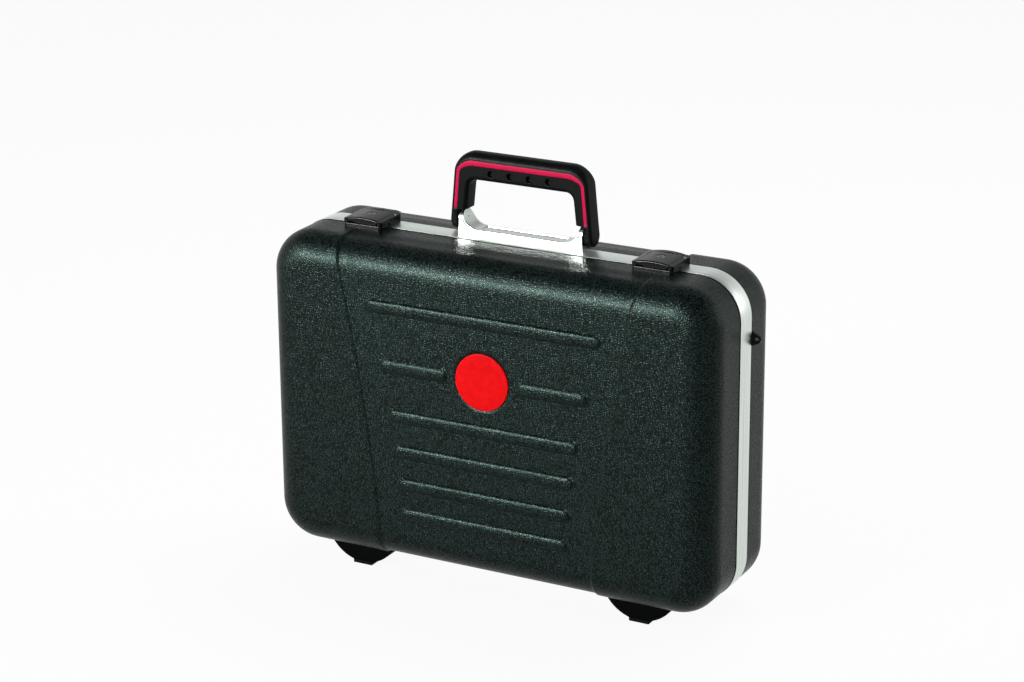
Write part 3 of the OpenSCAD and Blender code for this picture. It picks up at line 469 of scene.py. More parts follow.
# %% Heights pressed into the face
BADGE_Z, BADGE_R = 222.0, 27.9
RIBS = ((279.5, 123.6), (222.0, 109.9), (173.1, 100.5), (137.8, 95.5), (104.8, 91.3), (74.4, 89.1))
RIB_W, RIB_UP, RIB_ROUND, SPLIT_HALF = 13.0, 2.5, 5.2, 37.0
PANEL_LOW, PANEL_RISE, PANEL_SPAN, PANEL_BEND = 114.5, 43.0, 289.0, 1.475
PANEL_START = Z_LOW + 22.5
PANEL_SLOPE = 2.6
SEAT_DEEP, SEAT_SLOPE = 0.9, 1.5
FADE_FROM, FADE_TO = 27.0, 42.0


def ease(t):
    """Smooth step from 0 to 1: 3t^2 - 2t^3, flat at both ends."""
    t = np.clip(t, 0, 1)
    return t * t * (3 - 2 * t)


def panel_half(z):
    """Half width of the panel: 114.5 mm, and from the panel's start up it splays by a power of the
    height, reaching 43 mm more over a rise of 289 mm."""
    return PANEL_LOW + PANEL_RISE * (np.clip(z - PANEL_START, 0, None) / PANEL_SPAN) ** PANEL_BEND


def depth_in_bar(x, z, level, start, end):
    """How far a point lies inside a bar with round ends: half its width less the way to its middle."""
    beside = np.maximum(np.maximum(start - x, x - end), 0)
    return RIB_W / 2 - np.hypot(beside, z - level)


def pressed(x, z, split):
    """Height above the face's plane: the panel sinks, the ribs rise from it, the badge has a seat.
    A rib's side is a quarter of an ellipse, sqrt(1 - (1 - t)^2): steep at its foot, round on top."""
    height = -PANEL_SINK * ease((panel_half(z) - np.abs(x)) / PANEL_SLOPE + 0.5)
    for level, half in RIBS:
        start = SPLIT_HALF + RIB_W / 2 if split and level == BADGE_Z else -half
        inside = depth_in_bar(np.abs(x), z, level, start, half - RIB_W / 2)
        height = height + RIB_UP * np.sqrt(1 - (1 - np.clip(inside / RIB_ROUND, 0, 1)) ** 2)
    if split:
        reach = np.hypot(x, z - BADGE_Z)
        height = height - SEAT_DEEP * ease((BADGE_R + 0.2 + SEAT_SLOPE - reach) / SEAT_SLOPE)
    return height


# %% Grid lines and the shell's skin


def grid_lines(*spans):
    """Sorted grid lines: each span of (start, end, spacing) is cut into equal steps."""
    parts = [np.linspace(a, b, max(1, math.ceil((b - a) / step)) + 1)[:-1] for a, b, step in spans]
    return np.concatenate([*parts, [spans[-1][1]]])


half_lines = grid_lines((0, 50, 1.2), (50, 80, 2.4), (80, 162, 1.2), (162, INNER_X, 3.2))
X_LINES = np.concatenate([-half_lines[:0:-1], half_lines])
Z_LINES = grid_lines((INNER_Z[0], 66.0, 2.0), (66.0, 82.8, 0.9), (82.8, 96.4, 2.6), (96.4, 113.2, 0.9),
                     (113.2, 129.4, 2.6), (129.4, 146.2, 0.9), (146.2, 164.7, 2.6), (164.7, 181.5, 0.9),
                     (181.5, 191.0, 2.6), (191.0, 253.0, 1.2), (253.0, 271.1, 2.6), (271.1, 287.9, 0.9),
                     (287.9, INNER_Z[1], 2.6))
SHELL_PATH = around(X_LINES, Z_LINES, 15)


def shell(face_y, way, side_end, rim, split):
    """Skin of one shell. way is +1 where the case lies behind its face (the lid) and -1 where it
    lies in front of it (the base). The straight side stops at side_end, and rim is the profile from
    there to the inner floor. Outer points move along their outward direction by the pressed height,
    which fades out where the rounding turns into the side."""
    flat_in = np.linspace(CORNER_R, EDGE_R, 6)[:-1]
    bend = np.radians(np.linspace(0, 90, 15))
    side = np.linspace(face_y + way * EDGE_R, side_end, 9)[1:]
    inset = np.concatenate([flat_in, EDGE_R - EDGE_R * np.sin(bend), np.zeros(len(side))])
    y = np.concatenate([np.full(len(flat_in), face_y), face_y + way * EDGE_R * (1 - np.cos(bend)), side])
    tilt = np.concatenate([np.zeros(len(flat_in)), np.sin(bend), np.ones(len(side))])
    outer = rings(SHELL_PATH, np.stack([inset, y], 1))
    fade = ease((np.abs(y) - FADE_FROM) / (FADE_TO - FADE_FROM))
    lift = pressed(outer[..., 0], outer[..., 2], split) * fade[:, None]
    outs = SHELL_PATH[1]
    outer[..., 0] += lift * tilt[:, None] * outs[None, :, 0]
    outer[..., 2] += lift * tilt[:, None] * outs[None, :, 1]
    outer[..., 1] -= way * lift * np.sqrt(1 - tilt**2)[:, None]
    skin = np.concatenate([outer, rings(SHELL_PATH, rim)])
    count = len(SHELL_PATH[0])
    face_x, face_z = np.meshgrid(X_LINES, Z_LINES)
    face = np.stack([face_x, face_y - way * pressed(face_x, face_z, split), face_z], -1)
    points = np.concatenate([skin.reshape(-1, 3), face.reshape(-1, 3)])
    faces = [grid(len(skin), count, closed_columns=True),
             grid(len(Z_LINES), len(X_LINES), first=len(skin) * count),
             (np.arange(count) + (len(skin) - 1) * count)[None, :]]
    return points, faces


# %% Lid shell and base shell
lid_floor_y = Y_FRONT + PANEL_SINK + WALL
lid_rim = np.concatenate([
    arc(0.6, Y_RIM - 0.6, 0.6, 90, 0, 4),
    [(WALL, Y_RIM), (WALL, Y_RIM - 16)],
    arc(EDGE_R, lid_floor_y + EDGE_R - WALL, EDGE_R - WALL, 90, 180, 8),
])
points, faces = shell(Y_FRONT, 1, Y_RIM - 0.6, lid_rim, True)
lid_skin = hang("lid_shell_skin", tidy(fill_mesh("lid_shell_skin", points, faces)), "lid", grain_and_sparkle_abs,
                "shell_black", "lid_shell")
base_floor_y = Y_BACK - PANEL_SINK - WALL
base_rim = np.concatenate([
    arc(0.5, Y_BAND + 0.5, 0.5, 90, 180, 3),
    [(1.6, Y_BAND), (1.6, Y_PART + 1.8), (WALL, Y_PART + 1.8), (WALL, Y_BAND + 8)],
    arc(EDGE_R, base_floor_y - EDGE_R + WALL, EDGE_R - WALL, 90, 0, 8),
])
points, faces = shell(Y_BACK, -1, Y_BAND + 0.5, base_rim, False)
base_skin = hang("base_shell_skin", tidy(fill_mesh("base_shell_skin", points, faces)), "case", grain_and_sparkle_abs,
                 "shell_black", "base_shell")
print("shells:", len(lid_skin.data.polygons), "and", len(base_skin.data.polygons), "faces")

# %% [markdown]
# ## Band, seal and inner rim
# The aluminium profile was drawn straight, bent round and joined. A closed outline of its section
# is carried round the same path. Its visible edges are rounded by 0.8 mm, because a drawn profile
# has no knife edges, and that rounding is what catches the light.

# %% Profiles carried round the case


def band_piece(name, section, body, finish, slot_name, node):
    """Closed section of (inset, y) rows carried round the plain path. The last point of the ring
    repeats the first, so that U can run on to the full length; the doubles are merged after."""
    anchors, outs = PLAIN_PATH
    path = np.concatenate([anchors, anchors[:1]]), np.concatenate([outs, outs[:1]])
    surface = rings(path, section)
    step = np.linalg.norm(np.diff(surface[0], axis=0), axis=1)
    u = np.concatenate([[0], np.cumsum(step)])
    rows = np.asarray(section, float)
    v = np.concatenate([[0], np.cumsum(np.linalg.norm(np.diff(rows, axis=0), axis=1))])
    flow = np.stack(np.broadcast_arrays(u[None, :] * MM, v[:, None] * MM), -1)
    faces = grid(len(section), len(u), closed_rows=True)
    mesh = fill_mesh(name, surface.reshape(-1, 3), [faces], flow.reshape(-1, 2))
    return hang(name, tidy(mesh), body, finish, slot_name, node)


band_edge, band_out, band_in, web_in = 0.8, -0.6, 1.6, 5.0
band_section = np.concatenate([
    [(band_in, Y_BAND)],
    arc(band_out + band_edge, Y_BAND - band_edge, band_edge, 0, 90, 5),
    arc(band_out + band_edge, Y_PART + band_edge, band_edge, 90, 180, 5),
    [(web_in, Y_PART), (web_in, Y_PART + 1.8), (band_in, Y_PART + 1.8)],
])
band_piece("aluminium_band", band_section, "case", anodised, "band_aluminium", "base_frame")
seal_section = np.concatenate([
    arc(0.1, (Y_PART + Y_RIM) / 2, 0.5, 0, 180, 8),
    [(web_in, Y_RIM + 0.05), (web_in, Y_PART - 0.05)],
])
band_piece("parting_seal", seal_section, "lid", seal_rubber, "seal_rubber", "lid_seal")
rim_section = [(WALL, Y_RIM), (WALL, Y_RIM - 14), (web_in - 0.3, Y_RIM - 14), (web_in, Y_RIM - 13.7),
               (web_in, Y_RIM)]
band_piece("lid_inner_rim", rim_section, "lid", anodised, "band_aluminium", "lid_frame")
print("band section:", len(band_section), "points")

# %% [markdown]
# ## Tray
# A thin tray, vacuum formed from one sheet, lines the base. Its section runs up the outside, over a
# rounded rim and down the inside, and both floors are single flat faces.

# %% Base tray
TRAY_IN, TRAY_T, tray_y = 14.5, 1.6, Y_PART + 2.8
tray_floor = Y_BACK - WALL - PANEL_SINK - 0.4
centre_y = Y_BACK - EDGE_R
outer_r = tray_floor - centre_y
inner_r = outer_r - TRAY_T
outer_start = math.degrees(math.asin((EDGE_R - TRAY_IN) / outer_r))
inner_start = math.degrees(math.asin((EDGE_R - TRAY_IN - TRAY_T) / inner_r))
tray_section = np.concatenate([
    arc(EDGE_R, centre_y, outer_r, 0, outer_start, 5),
    arc(TRAY_IN + TRAY_T / 2, tray_y + TRAY_T / 2, TRAY_T / 2, 90, 270, 6),
    arc(EDGE_R, centre_y, inner_r, inner_start, 0, 5),
])
mesh = tube("tray_formed", rings(PLAIN_PATH, tray_section))
hang("tray_formed", tidy(mesh), "case", tray_plastic, "tray_black", "base_tray")
print("tray section:", len(tray_section), "points")

# %% [markdown]
# ## Handle
# The grip is an arch with a soft section. At each station along it there is a point on its outer
# edge and one on the finger opening, each with its outward direction. The section leaves both
# along those directions and is straight between them, so the outer edge and the opening keep their
# own roundings all the way round the shoulders.

# %% Stations of the arch
PIVOT_Y, PIVOT_Z = 18.0, 350.5
HALF_DEPTH = 10.0
LEG_HALF, STEP_Z, STEP_IN = 75.0, 361.3, 65.7
OUTER_C, OUTER_R = (50.5, 397.5), 20.0
OPEN_C, OPEN_R = (47.5, 383.5), 8.0
OPEN_FOOT = (58.5, 356.3)
STRIPE_LEG, STRIPE_TOP = (2.8, 3.6), (6.9, 5.2)
STRIPE_END, GROOVE = 362.4, 0.8


def tangent_angle(foot, centre, radius):
    """Angle of the circle's point whose tangent passes through foot: acos(r/d) less foot's own dip."""
    dx, dz = foot[0] - centre[0], centre[1] - foot[1]
    return math.acos(radius / math.hypot(dx, dz)) - math.atan2(dz, dx)


def edge_line(foot, centre, radius, start_z, counts):
    """Right half of one edge of the arch, (n, 2) points and directions away from the circle: the
    straight leg from start_z, the arc to the top, and the top line to the middle."""
    angle = tangent_angle(foot, centre, radius)
    touch = np.array(centre) + radius * np.array([math.cos(angle), math.sin(angle)])
    leg_z = np.linspace(start_z, touch[1], counts[0])
    slope = (touch[0] - foot[0]) / (touch[1] - foot[1])
    leg = np.stack([foot[0] + slope * (leg_z - foot[1]), leg_z], 1)
    turn = np.linspace(angle, math.pi / 2, counts[1])[1:]
    bend = np.array(centre) + radius * np.stack([np.cos(turn), np.sin(turn)], 1)
    top_x = np.linspace(centre[0], 0, counts[2])[1:]
    top = np.stack([top_x, np.full(len(top_x), centre[1] + radius)], 1)
    outs = np.concatenate([np.tile([math.cos(angle), math.sin(angle)], (len(leg), 1)),
                           np.stack([np.cos(turn), np.sin(turn)], 1), np.tile([0.0, 1.0], (len(top), 1))])
    return np.concatenate([leg, bend, top]), outs


def half_arch():
    """Stations of the right half from the leg's round foot to the middle of the grip: outer points
    and directions, inner points and directions, and the half depth at each."""
    counts = (26, 26, 84)
    outer, outer_way = edge_line((LEG_HALF, PIVOT_Z), OUTER_C, OUTER_R, STEP_Z + 0.25, counts)
    inner, inner_way = edge_line(OPEN_FOOT, OPEN_C, OPEN_R, STEP_Z + 0.25, counts)
    roll = np.radians([88, 80, 70, 60, 50, 40, 30, 20, 10, 0])
    low_z = np.concatenate([PIVOT_Z - HALF_DEPTH * np.sin(roll), np.linspace(PIVOT_Z, STEP_Z - 0.25, 9)[1:]])
    half = np.concatenate([HALF_DEPTH * np.cos(roll), np.full(8 + len(outer), HALF_DEPTH)])
    slope = (outer[0, 0] - LEG_HALF) / (outer[0, 1] - PIVOT_Z)
    tuck = 2.0 * (1 - np.minimum(half[: len(low_z)] / HALF_DEPTH, 1)) ** 2
    low_x = LEG_HALF + slope * np.clip(low_z - PIVOT_Z, 0, None) - tuck
    low_outer = np.stack([low_x, low_z], 1)
    low_inner = np.stack([np.full(len(low_z), STEP_IN), low_z], 1)
    sideways = np.tile([1.0, 0.0], (len(low_z), 1))
    return (np.concatenate([low_outer, outer]), np.concatenate([sideways, outer_way]),
            np.concatenate([low_inner, inner]), np.concatenate([sideways, inner_way]), half)


*right_half, half_depth = half_arch()
mirror = np.array([-1.0, 1.0])
outer, outer_way, inner, inner_way = (np.concatenate([part, part[-2::-1] * mirror]) for part in right_half)
half_depth = np.concatenate([half_depth, half_depth[-2::-1]])
up = ease(outer_way[:, 1])
stripe_in = STRIPE_LEG[0] + (STRIPE_TOP[0] - STRIPE_LEG[0]) * up
stripe_out = stripe_in + STRIPE_LEG[1] + (STRIPE_TOP[1] - STRIPE_LEG[1]) * up
print("handle:", len(outer), "stations")

# %% Section of the grip
DIMPLE_R, DIMPLE_WALL, DIMPLE_DEEP, DIMPLE_Z = 3.3, 0.6, 3.4, 399.5
DIMPLE_X = np.array([-30.45, -10.15, 10.15, 30.45])
OUTER_FILLET, OUTER_DEEP, INNER_FILLET = (2.6, 4.2), (3.2, 5.3), 4.0
INNER_REACH, INNER_SHARE, STEEP = 4.2, 0.28, 0.02


def across(distance, span, from_outer, from_inner):
    """Point of every station at a distance from its outer edge: along the outer direction for the
    first from_outer, back from the inner edge for the last from_inner, straight between."""
    reach_out, reach_in = outer - outer_way * from_outer[:, None], inner + inner_way * from_inner[:, None]
    share = np.clip((distance - from_outer) / np.maximum(span - from_outer - from_inner, 1e-6), 0, 1)
    middle = reach_out + (reach_in - reach_out) * share[:, None]
    near_outer = outer - outer_way * distance[:, None]
    near_inner = inner + inner_way * (span - distance)[:, None]
    spot = np.where((distance <= from_outer)[:, None], near_outer, middle)
    return np.where((distance >= span - from_inner)[:, None], near_inner, spot)


def grip_surface():
    """Points of the grip, stations by columns. One half of the section runs from the outer edge's
    middle over a fillet, the face with its stripe groove, a second fillet and on to the inner edge's
    middle; the other half mirrors it in depth. The outer fillet grows from the legs to the top. The
    dimples are round pits: depth = D x smooth step of (R - distance) / wall."""
    span = np.linalg.norm(outer - inner, axis=1)
    from_outer, from_inner = np.minimum(stripe_out, 0.7 * span), np.minimum(INNER_REACH, INNER_SHARE * span)
    outer_fillet = OUTER_FILLET[0] + OUTER_FILLET[1] * up
    inner_fillet = np.minimum(INNER_FILLET, INNER_SHARE * span)
    deep_outer = np.minimum(OUTER_DEEP[0] + OUTER_DEEP[1] * up, 0.85 * half_depth)
    deep_inner = np.minimum(INNER_FILLET, 0.5 * half_depth)
    down = half_depth - np.where(outer[:, 1] > STRIPE_END, GROOVE, 0.0)
    columns = []
    for a in np.radians(np.linspace(0, 90, 13)):
        columns.append((outer_fillet * (1 - math.cos(a)), half_depth - deep_outer * (1 - math.sin(a))))
    columns += [(stripe_in, half_depth), (stripe_in + STEEP, down), (stripe_out - STEEP, down),
                (stripe_out, half_depth)]
    stop = span - inner_fillet
    for t in np.linspace(0, 1, 25)[1:-1]:
        columns.append((stripe_out + (stop - stripe_out) * t, half_depth))
    for a in np.radians(np.linspace(0, 90, 9)):
        columns.append((stop + inner_fillet * math.sin(a), half_depth - deep_inner * (1 - math.cos(a))))
    front = np.stack([np.concatenate([across(d, span, from_outer, from_inner), h[:, None]], 1)
                      for d, h in columns], 1)
    near = np.hypot(front[..., 0, None] - DIMPLE_X, front[..., 1, None] - DIMPLE_Z).min(axis=-1)
    front[..., 2] -= DIMPLE_DEEP * ease((DIMPLE_R - near) / DIMPLE_WALL)
    rear = front[:, ::-1] * np.array([1.0, 1.0, -1.0])
    loop = np.concatenate([front, rear], axis=1)
    return np.stack([loop[..., 0], PIVOT_Y - loop[..., 2], loop[..., 1]], -1)


surface = grip_surface()
mesh = tube("grip_moulded", surface)
hang("grip_moulded", tidy(mesh), "handle", grip_plastic, "grip_black", "handle_grip")
print("grip:", surface.shape[0], "x", surface.shape[1], "points")

# %% [markdown]
# The crimson stripe is a strip of soft plastic pressed into the groove on both faces. It follows
# the same stations, lies 0.1 to 0.15 mm below the face and has softly rounded edges.

# %% Stripes of the handle


def stripe(name, way, node):
    """Strip between the groove's walls. Its section is a rounded top on a flat bottom, and it is
    closed at both ends; way is +1 on the front face and -1 on the rear one."""
    keep = outer[:, 1] > STRIPE_END
    low, high = stripe_in[keep] + 0.08, stripe_out[keep] - 0.08
    section = [(low, GROOVE), (low, 0.4), (low + 0.12, 0.24), (low + 0.4, 0.15), ((low + high) / 2, 0.1),
               (high - 0.4, 0.15), (high - 0.12, 0.24), (high, 0.4), (high, GROOVE)]
    distance = np.stack([d for d, _ in section], 1)
    flat = outer[keep][:, None] - outer_way[keep][:, None] * distance[..., None]
    depth = np.broadcast_to(HALF_DEPTH - np.array([sunk for _, sunk in section]), flat.shape[:2])
    surface = np.stack([flat[..., 0], PIVOT_Y - way * depth, flat[..., 1]], -1)
    return hang(name, tidy(tube(name, surface)), "handle", stripe_plastic, "inlay_red", node)


stripe("stripe_front", 1, "grip_inlay_front")
stripe("stripe_rear", -1, "grip_inlay_rear")

# %% [markdown]
# ## Bracket
# The bracket is one zinc casting: a bed between two ears that the handle's pins run in. It could be
# the CAD solid with rounded edges, but the casting has more: a thin groove that sets a rim apart
# on its front face, and a sunk plate in the bed. So its section is carried along the U. At each
# station a rung joins a point of the U to one of the outer side, and the section runs round it.

# %% Bracket carried along its U
BRACKET_HALF, EAR_R, EAR_FILLET, BED_X, BED_Z = 65.4, 10.0, 17.0, 44.5, 343.5
BRACKET_EDGE, PLATE_SINK, PLATE_IN, STEP_Y = 0.8, 0.9, 3.2, 14.9
OVER_BAND = 339.12
SIDE_FROM, SIDE_TO = 14, 25
RIM_GROOVE, RIM_GROOVE_LOW, RIM_GROOVE_HIGH = 1.2, -3.0, -1.8


def u_half():
    """Right half of the U, (n, 2) inner points, inner directions and outer points: an arc of the
    fillet's radius down from the ear's top, then the bed to the middle."""
    turn = np.radians([90, 89.2, 88, 86, 83.5, 80.5, 77, 72, 67, 61, 55,
                       49, 43, 37, 31, 25, 20, 15, 10, 5, 0])
    bed_x = BED_X - np.array([0.7, 1.4, 2.4, 8, 16, 24, 32, 38, BED_X])
    flat = np.zeros(len(bed_x))
    fillet = np.stack([BED_X + EAR_FILLET * np.sin(turn), BED_Z + EAR_FILLET * (1 - np.cos(turn))], 1)
    inner = np.concatenate([fillet, np.stack([bed_x, flat + BED_Z], 1)])
    way = np.concatenate([np.stack([-np.sin(turn), np.cos(turn)], 1), np.stack([flat, flat + 1.0], 1)])
    angle = np.concatenate([np.degrees(turn), flat])
    side_z = BED_Z + EAR_FILLET * (1 - math.cos(math.radians(SIDE_TO)))
    low = np.interp(angle, (0, SIDE_FROM, SIDE_TO), (Z_HIGH, Z_HIGH, side_z))
    outer_z = np.where(angle > SIDE_TO, inner[:, 1], low)
    foot = BED_X + 6
    flare = np.interp(angle, (0, SIDE_FROM), (foot, BRACKET_HALF))
    outer_x = np.where(angle > 0, flare, inner[:, 0] * foot / BED_X)
    return inner, way, np.stack([outer_x, outer_z], 1)


def bracket_surface():
    """Stations by columns. A column is (share of the rung, offset along the inner direction, depth):
    front edge, surface with the sunk plate, rear edge, rear face, outer side, front face with its
    groove. Over the pivots the depth narrows by sqrt(r^2 - h^2), which makes the ears round."""
    inner, way, outer = (np.concatenate([part, part[-2::-1] * mirror]) for part in u_half())
    plate = ease((BED_X - 0.4 - np.abs(inner[:, 0])) / 1.0) * (inner[:, 1] < BED_Z + 0.01)
    edge, back, step = BRACKET_EDGE, 2 * EAR_R, STEP_Y - PIVOT_Y + EAR_R
    curve = np.radians(np.linspace(90, 0, 5))
    columns = [(0, -edge * (1 - math.cos(a)), edge * (1 - math.sin(a)), 0) for a in curve]
    columns += [(0, 0, 1.5, 0), (0, 0, PLATE_IN, 0),
                (0, 0, PLATE_IN + 0.35, 1), (0, 0, 7.0, 1), (0, 0, 10.0, 1), (0, 0, 13.0, 1),
                (0, 0, back - PLATE_IN - 0.35, 1), (0, 0, back - PLATE_IN, 0)]
    columns += [(0, -edge * (1 - math.cos(a)), back - edge * (1 - math.sin(a)), 0) for a in curve[::-1]]
    columns += [(0, -edge - 0.3, back, 0), (1, 0, back, 0), (1, 0, back - 0.3, 0), (1, 0, step, 0),
                (1, 0, step - STEEP, 0), (1, 0, 0.3, 0), (1, 0, 0, 0), (0, RIM_GROOVE_LOW, 0, 0),
                (0, RIM_GROOVE_LOW + 0.05, RIM_GROOVE, 0), (0, RIM_GROOVE_HIGH - 0.05, RIM_GROOVE, 0),
                (0, RIM_GROOVE_HIGH, 0, 0), (0, -edge - 0.3, 0, 0)]
    share, offset, depth, sunk = np.array(columns, float).T
    move = offset[None, :] - PLATE_SINK * plate[:, None] * sunk[None, :]
    flat = inner[:, None] + (outer - inner)[:, None] * share[None, :, None] + way[:, None] * move[..., None]
    narrow = np.sqrt(np.clip(1 - (np.clip(flat[..., 1] - PIVOT_Z, 0, None) / EAR_R) ** 2, 0, 1))
    y = PIVOT_Y + (depth[None, :] - EAR_R) * narrow
    z = np.where((y < STEP_Y - 0.01) & (flat[..., 1] < OVER_BAND), OVER_BAND, flat[..., 1])
    return np.stack([flat[..., 0], y, z], -1)


surface = bracket_surface()
mesh = tube("bracket_cast", surface, capped=False)
hang("bracket_cast", tidy(mesh), "case", die_cast, "bracket_diecast", "handle_bracket")
print("bracket:", surface.shape[0], "x", surface.shape[1], "points")

# %% [markdown]
# ## Badge
# The round badge is a moulded disc with a rounded edge and a very slightly crowned face, which is
# left bare.

# %% Badge disc
BADGE_FRONT, BADGE_BACK, BADGE_EDGE, BADGE_CROWN = -68.5, -66.7, 0.7, 0.25
BADGE_STEPS = 96
edge_turn = np.radians(np.linspace(90, 0, 6))
face_r = np.linspace(BADGE_R - BADGE_EDGE, 2.0, 9)[1:]
profile = np.concatenate([
    [(2.0, BADGE_BACK), (BADGE_R, BADGE_BACK)],
    np.stack([BADGE_R - BADGE_EDGE + BADGE_EDGE * np.sin(edge_turn),
              BADGE_FRONT + BADGE_EDGE - BADGE_EDGE * np.cos(edge_turn)], 1),
    np.stack([face_r, BADGE_FRONT - BADGE_CROWN * (1 - (face_r / BADGE_R) ** 2)], 1),
])
round_turn = np.linspace(0, 2 * math.pi, BADGE_STEPS + 1)[:-1]
surface = np.stack([profile[:, 0, None] * np.cos(round_turn), np.repeat(profile[:, 1, None], BADGE_STEPS, 1),
                    BADGE_Z + profile[:, 0, None] * np.sin(round_turn)], -1)
mesh = tube("badge_bare", surface)
hang("badge_bare", tidy(mesh), "lid", badge_gloss, "badge_red", "badge_disc")
print("badge:", 2 * BADGE_R, "mm across")

# %% [markdown]
# ## Tool pockets
# Flat pockets of cloth are sewn on the lid's board. Each is a low pillow: a dome whose sides fall
# off quickly, with a hem along its open top edge.

# %% Pillow surfaces
POCKET_W, POCKET_H, POCKET_Z, POCKET_T, POCKET_PITCH = 66.8, 150.0, 146.5, 3.6, 74.8
POCKET_Y = -62.2
POCKET_GRID, HEM = (33, 61), 0.84


def pocket_points(middle):
    """One pillow, front and back grids: depth = T ((1 - |u|^8)(1 - |v|^8))^0.45, with a groove where
    the hem is sewn and a slight belly in the lower half."""
    u, v = np.meshgrid(*(np.sin(np.linspace(-1, 1, steps) * math.pi / 2) for steps in POCKET_GRID))
    round_off = ((1 - np.abs(u) ** 8) * (1 - np.abs(v) ** 8)) ** 0.45
    belly = 0.72 + 0.28 * np.cos(np.pi * (v + 0.25) / 2.6) * np.cos(np.pi * u / 2)
    groove = 1 - 0.35 * np.exp(-(((v - HEM) / 0.02) ** 2))
    deep = POCKET_T * round_off * belly * groove
    x = middle + u * POCKET_W / 2 * (1 - 0.006 * np.cos(v * 6))
    z = POCKET_Z + v * POCKET_H / 2
    front = np.stack([x, POCKET_Y + 0.05 + deep, z], -1)
    back = np.stack([x, np.full_like(x, POCKET_Y), z], -1)
    return front, back


points, faces, first = [], [], 0
for number in range(5):
    for sheet_points in pocket_points((number - 2) * POCKET_PITCH):
        points.append(sheet_points.reshape(-1, 3))
        faces.append(grid(*sheet_points.shape[:2], first=first))
        first += len(points[-1])
mesh = fill_mesh("pockets_sewn", np.concatenate(points), faces)
pockets = hang("pockets_sewn", tidy(mesh, math.radians(80)), "lid", pocket_cloth, "pocket_fabric",
               "tool_pockets")
print("pockets: 5,", POCKET_PITCH, "mm apart")

# %% [markdown]
# ## Smaller pieces with eased edges
# Latches, feet, lugs, stays, hinge leaves and the inside's boards have their exact shape in CAD, but
# with knife edges. A copy of the node is merged, its flat triangles are joined, and a bevel rounds
# every edge over 35 degrees. The node itself is left alone.

# %% Eased copies of CAD nodes
CAD_DOUBLES, FLAT, BEVEL_FROM = 2e-5, math.radians(1.5), math.radians(35)
CORNER_FROM, ALONG_AXIS = 1.0, 0.95


def eased(node, width, finish, slot_name, body, segments=3, plan=(), roll=()):
    """Copy of a node with rounded edges. plan is an optional (radius, test) that first rounds the
    upright edges whose middle passes the test, as on a moulded cover's corners, and roll is one for
    level edges along X, as at a cover's front."""
    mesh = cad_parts[node].data.copy()
    work = bmesh.new()
    work.from_mesh(mesh)
    bmesh.ops.remove_doubles(work, verts=work.verts, dist=CAD_DOUBLES)
    bmesh.ops.dissolve_limit(work, angle_limit=FLAT, verts=work.verts, edges=work.edges)
    bmesh.ops.recalc_face_normals(work, faces=work.faces)
    for axis, wish in ((2, plan), (0, roll)):
        if not wish:
            continue
        radius, test = wish
        chosen = [e for e in work.edges if len(e.link_faces) == 2 and e.calc_face_angle() > CORNER_FROM
                  and abs(e.verts[0].co[axis] - e.verts[1].co[axis]) > ALONG_AXIS * e.calc_length()
                  and test((e.verts[0].co + e.verts[1].co) / 2 / MM)]
        bmesh.ops.bevel(work, geom=chosen, offset=radius * MM, segments=6, profile=0.5, affect="EDGES",
                        clamp_overlap=False)
    work.to_mesh(mesh)
    work.free()
    mesh.name = node + "_eased"
    while mesh.uv_layers:
        mesh.uv_layers.remove(mesh.uv_layers[0])
    piece = hang(node + "_eased", mesh, body, finish, slot_name, node)
    bevel = piece.modifiers.new("edges", "BEVEL")
    bevel.width, bevel.segments, bevel.limit_method = width * MM, segments, "ANGLE"
    bevel.angle_limit = BEVEL_FROM
    bevel.use_clamp_overlap = False
    bevel.harden_normals = False
    weighted = piece.modifiers.new("shading", "WEIGHTED_NORMAL")
    weighted.keep_sharp = True
    for face in mesh.polygons:
        face.use_smooth = True
    return piece


LATCH_X, LATCH_HALF, LATCH_FRONT, LATCH_BACK = 153.0, 21.0, -24.0, 14.0
FLAP_EDGE_Z = 347.4


def latch_corner(spot):
    """True at the four corners of a latch in plan."""
    return abs(abs(abs(spot.x) - LATCH_X) - LATCH_HALF) < 0.6 and min(abs(spot.y - LATCH_FRONT),
                                                                     abs(spot.y - LATCH_BACK)) < 1.0


def flap_front(spot):
    """True at the crowned front edge of a flap's top."""
    return abs(spot.y - LATCH_FRONT) < 0.1 and spot.z > FLAP_EDGE_Z


for side in ("left", "right"):
    eased("latch_body_" + side, 0.3, cover_plastic, "latch_black", "case", plan=(2.6, latch_corner))
    eased("latch_flap_" + side, 0.25, cover_plastic, "latch_black", "flap_" + side, roll=(1.5, flap_front))
    eased("latch_keeper_" + side, 0.6, cover_plastic, "latch_black", "lid", plan=(2.2, latch_corner))
    eased("lock_cylinder_" + side, 0.25, dark_nickel, "lock_metal", "lock_" + side, segments=2)
    eased("latch_claw_" + side, 0.3, black_steel_gap_shade, "steel", "claw_" + side, segments=2)
    eased("foot_lid_" + side, 1.4, foot_plastic, "foot_black", "lid")
    eased("foot_base_" + side, 1.4, foot_plastic, "foot_black", "case")
    eased("strap_lug_" + side, 0.7, cover_plastic, "fitting_black", "case")
    eased("stay_arm_" + side, 0.3, plated_steel, "steel", "stay_" + side, segments=2)
    eased("stay_guide_" + side, 0.3, plated_steel, "steel", "lid", segments=2)
    eased("stay_post_" + side, 0.4, plated_steel, "steel", "case", segments=2)
eased("foot_pads_lid", 0.8, pad_rubber, "pad_rubber", "lid")
eased("foot_pads_base", 0.8, pad_rubber, "pad_rubber", "case")
eased("lid_board", 0.9, board_cloth, "board_fabric", "lid")
eased("base_dividers", 0.4, divider_plastic, "divider_grey", "case", segments=2)
eased("hinge_leaf_base", 0.3, plated_steel, "steel", "case", segments=2)
eased("hinge_leaf_lid", 0.3, plated_steel, "steel", "lid", segments=2)
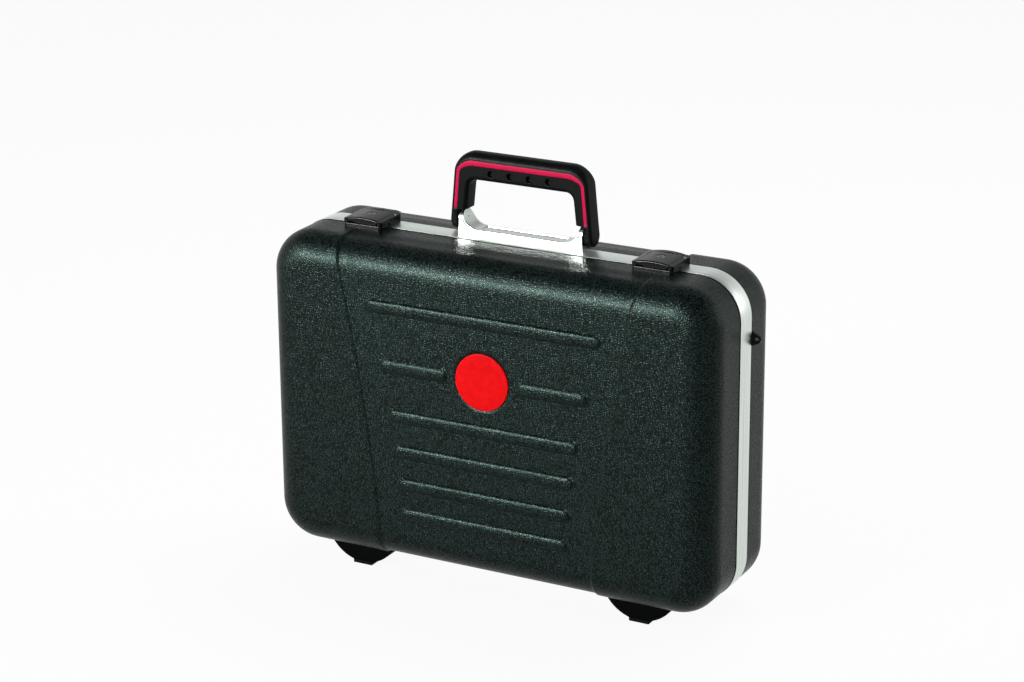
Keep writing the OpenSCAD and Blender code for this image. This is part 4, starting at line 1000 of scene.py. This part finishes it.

# %% [markdown]
# A low black cup is put round the keeper of each latch on the lid. Its wall is a rounded section
# that runs round three sides in plan, open to the rear where the claw comes in, and it closes the gap
# under the latch's sides, so that the gap shows dark: it is painted shade in the form of a piece,
# put where there is only shade. Its form is a guess and it is there for looks: CAD has no solid for it.

# %% Dark cups round the keepers, painted shade under the latches
CUP_HALF, CUP_FRONT, CUP_BACK, CUP_TOP, CUP_T, CUP_R = 20.9, -24.2, -10.0, 342.9, 1.9, 3.4


def cup_wall(middle):
    """Wall of one cup, stations by columns: a U of half width CUP_HALF with corners of radius
    CUP_R, each station's section going up the outside, over a round top and down the inside."""
    turn = np.radians(np.linspace(0, 90, 9))
    corner = np.stack([CUP_HALF - CUP_R + CUP_R * np.cos(turn), CUP_FRONT + CUP_R - CUP_R * np.sin(turn)], 1)
    way = np.stack([np.cos(turn), -np.sin(turn)], 1)
    half = np.concatenate([[(CUP_HALF, CUP_BACK)], corner]), np.concatenate([[(1.0, 0.0)], way])
    spots, ways = (np.concatenate([part, part[::-1] * mirror]) for part in half)
    bend = np.radians(np.linspace(180, 0, 7))
    inward = np.concatenate([[0.0], CUP_T / 2 * (1 + np.cos(bend)), [CUP_T]])
    z = np.concatenate([[Z_HIGH - 0.3], CUP_TOP - CUP_T / 2 * (1 - np.sin(bend)), [Z_HIGH - 0.3]])
    flat = spots[:, None] - ways[:, None] * inward[None, :, None]
    return np.stack([flat[..., 0] + middle, flat[..., 1], np.broadcast_to(z, flat.shape[:2])], -1)


for side, middle in (("left", -LATCH_X), ("right", LATCH_X)):
    surface = cup_wall(middle)
    # A dark piece put where there is only shade under the latch: painted shade.
    mesh = tube("shade_cup_" + side, surface)
    hang("shade_cup_" + side, tidy(mesh), "lid", cover_plastic, "latch_black")
print("cups:", surface.shape[0], "x", surface.shape[1], "points each")

# %% [markdown]
# ## Small hardware from CAD
# Pins, rivets, screws, studs and cams are small and show little, so the nodes stay and are given the
# finish of what they are made of.

# %% Finishes on the nodes that stay
steel_nodes = ["board_studs", "hinge_pin", "hinge_rivets_base", "hinge_rivets_lid", "foot_screws_lid",
               "foot_screws_base", "bracket_screws", "handle_pin_left", "handle_pin_right", "latch_screws",
               "flap_pin_left", "flap_pin_right", "claw_pins_left", "claw_pins_right", "keeper_screws",
               "lock_cam_left", "lock_cam_right", "lug_rivets"]
for node, finish in [(n, plated_steel) for n in steel_nodes] + [("tray_studs", foot_plastic)]:
    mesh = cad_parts[node].data
    mesh.materials.clear()
    mesh.materials.append(finish)
print("nodes with a finish of their own:", len(steel_nodes) + 1)
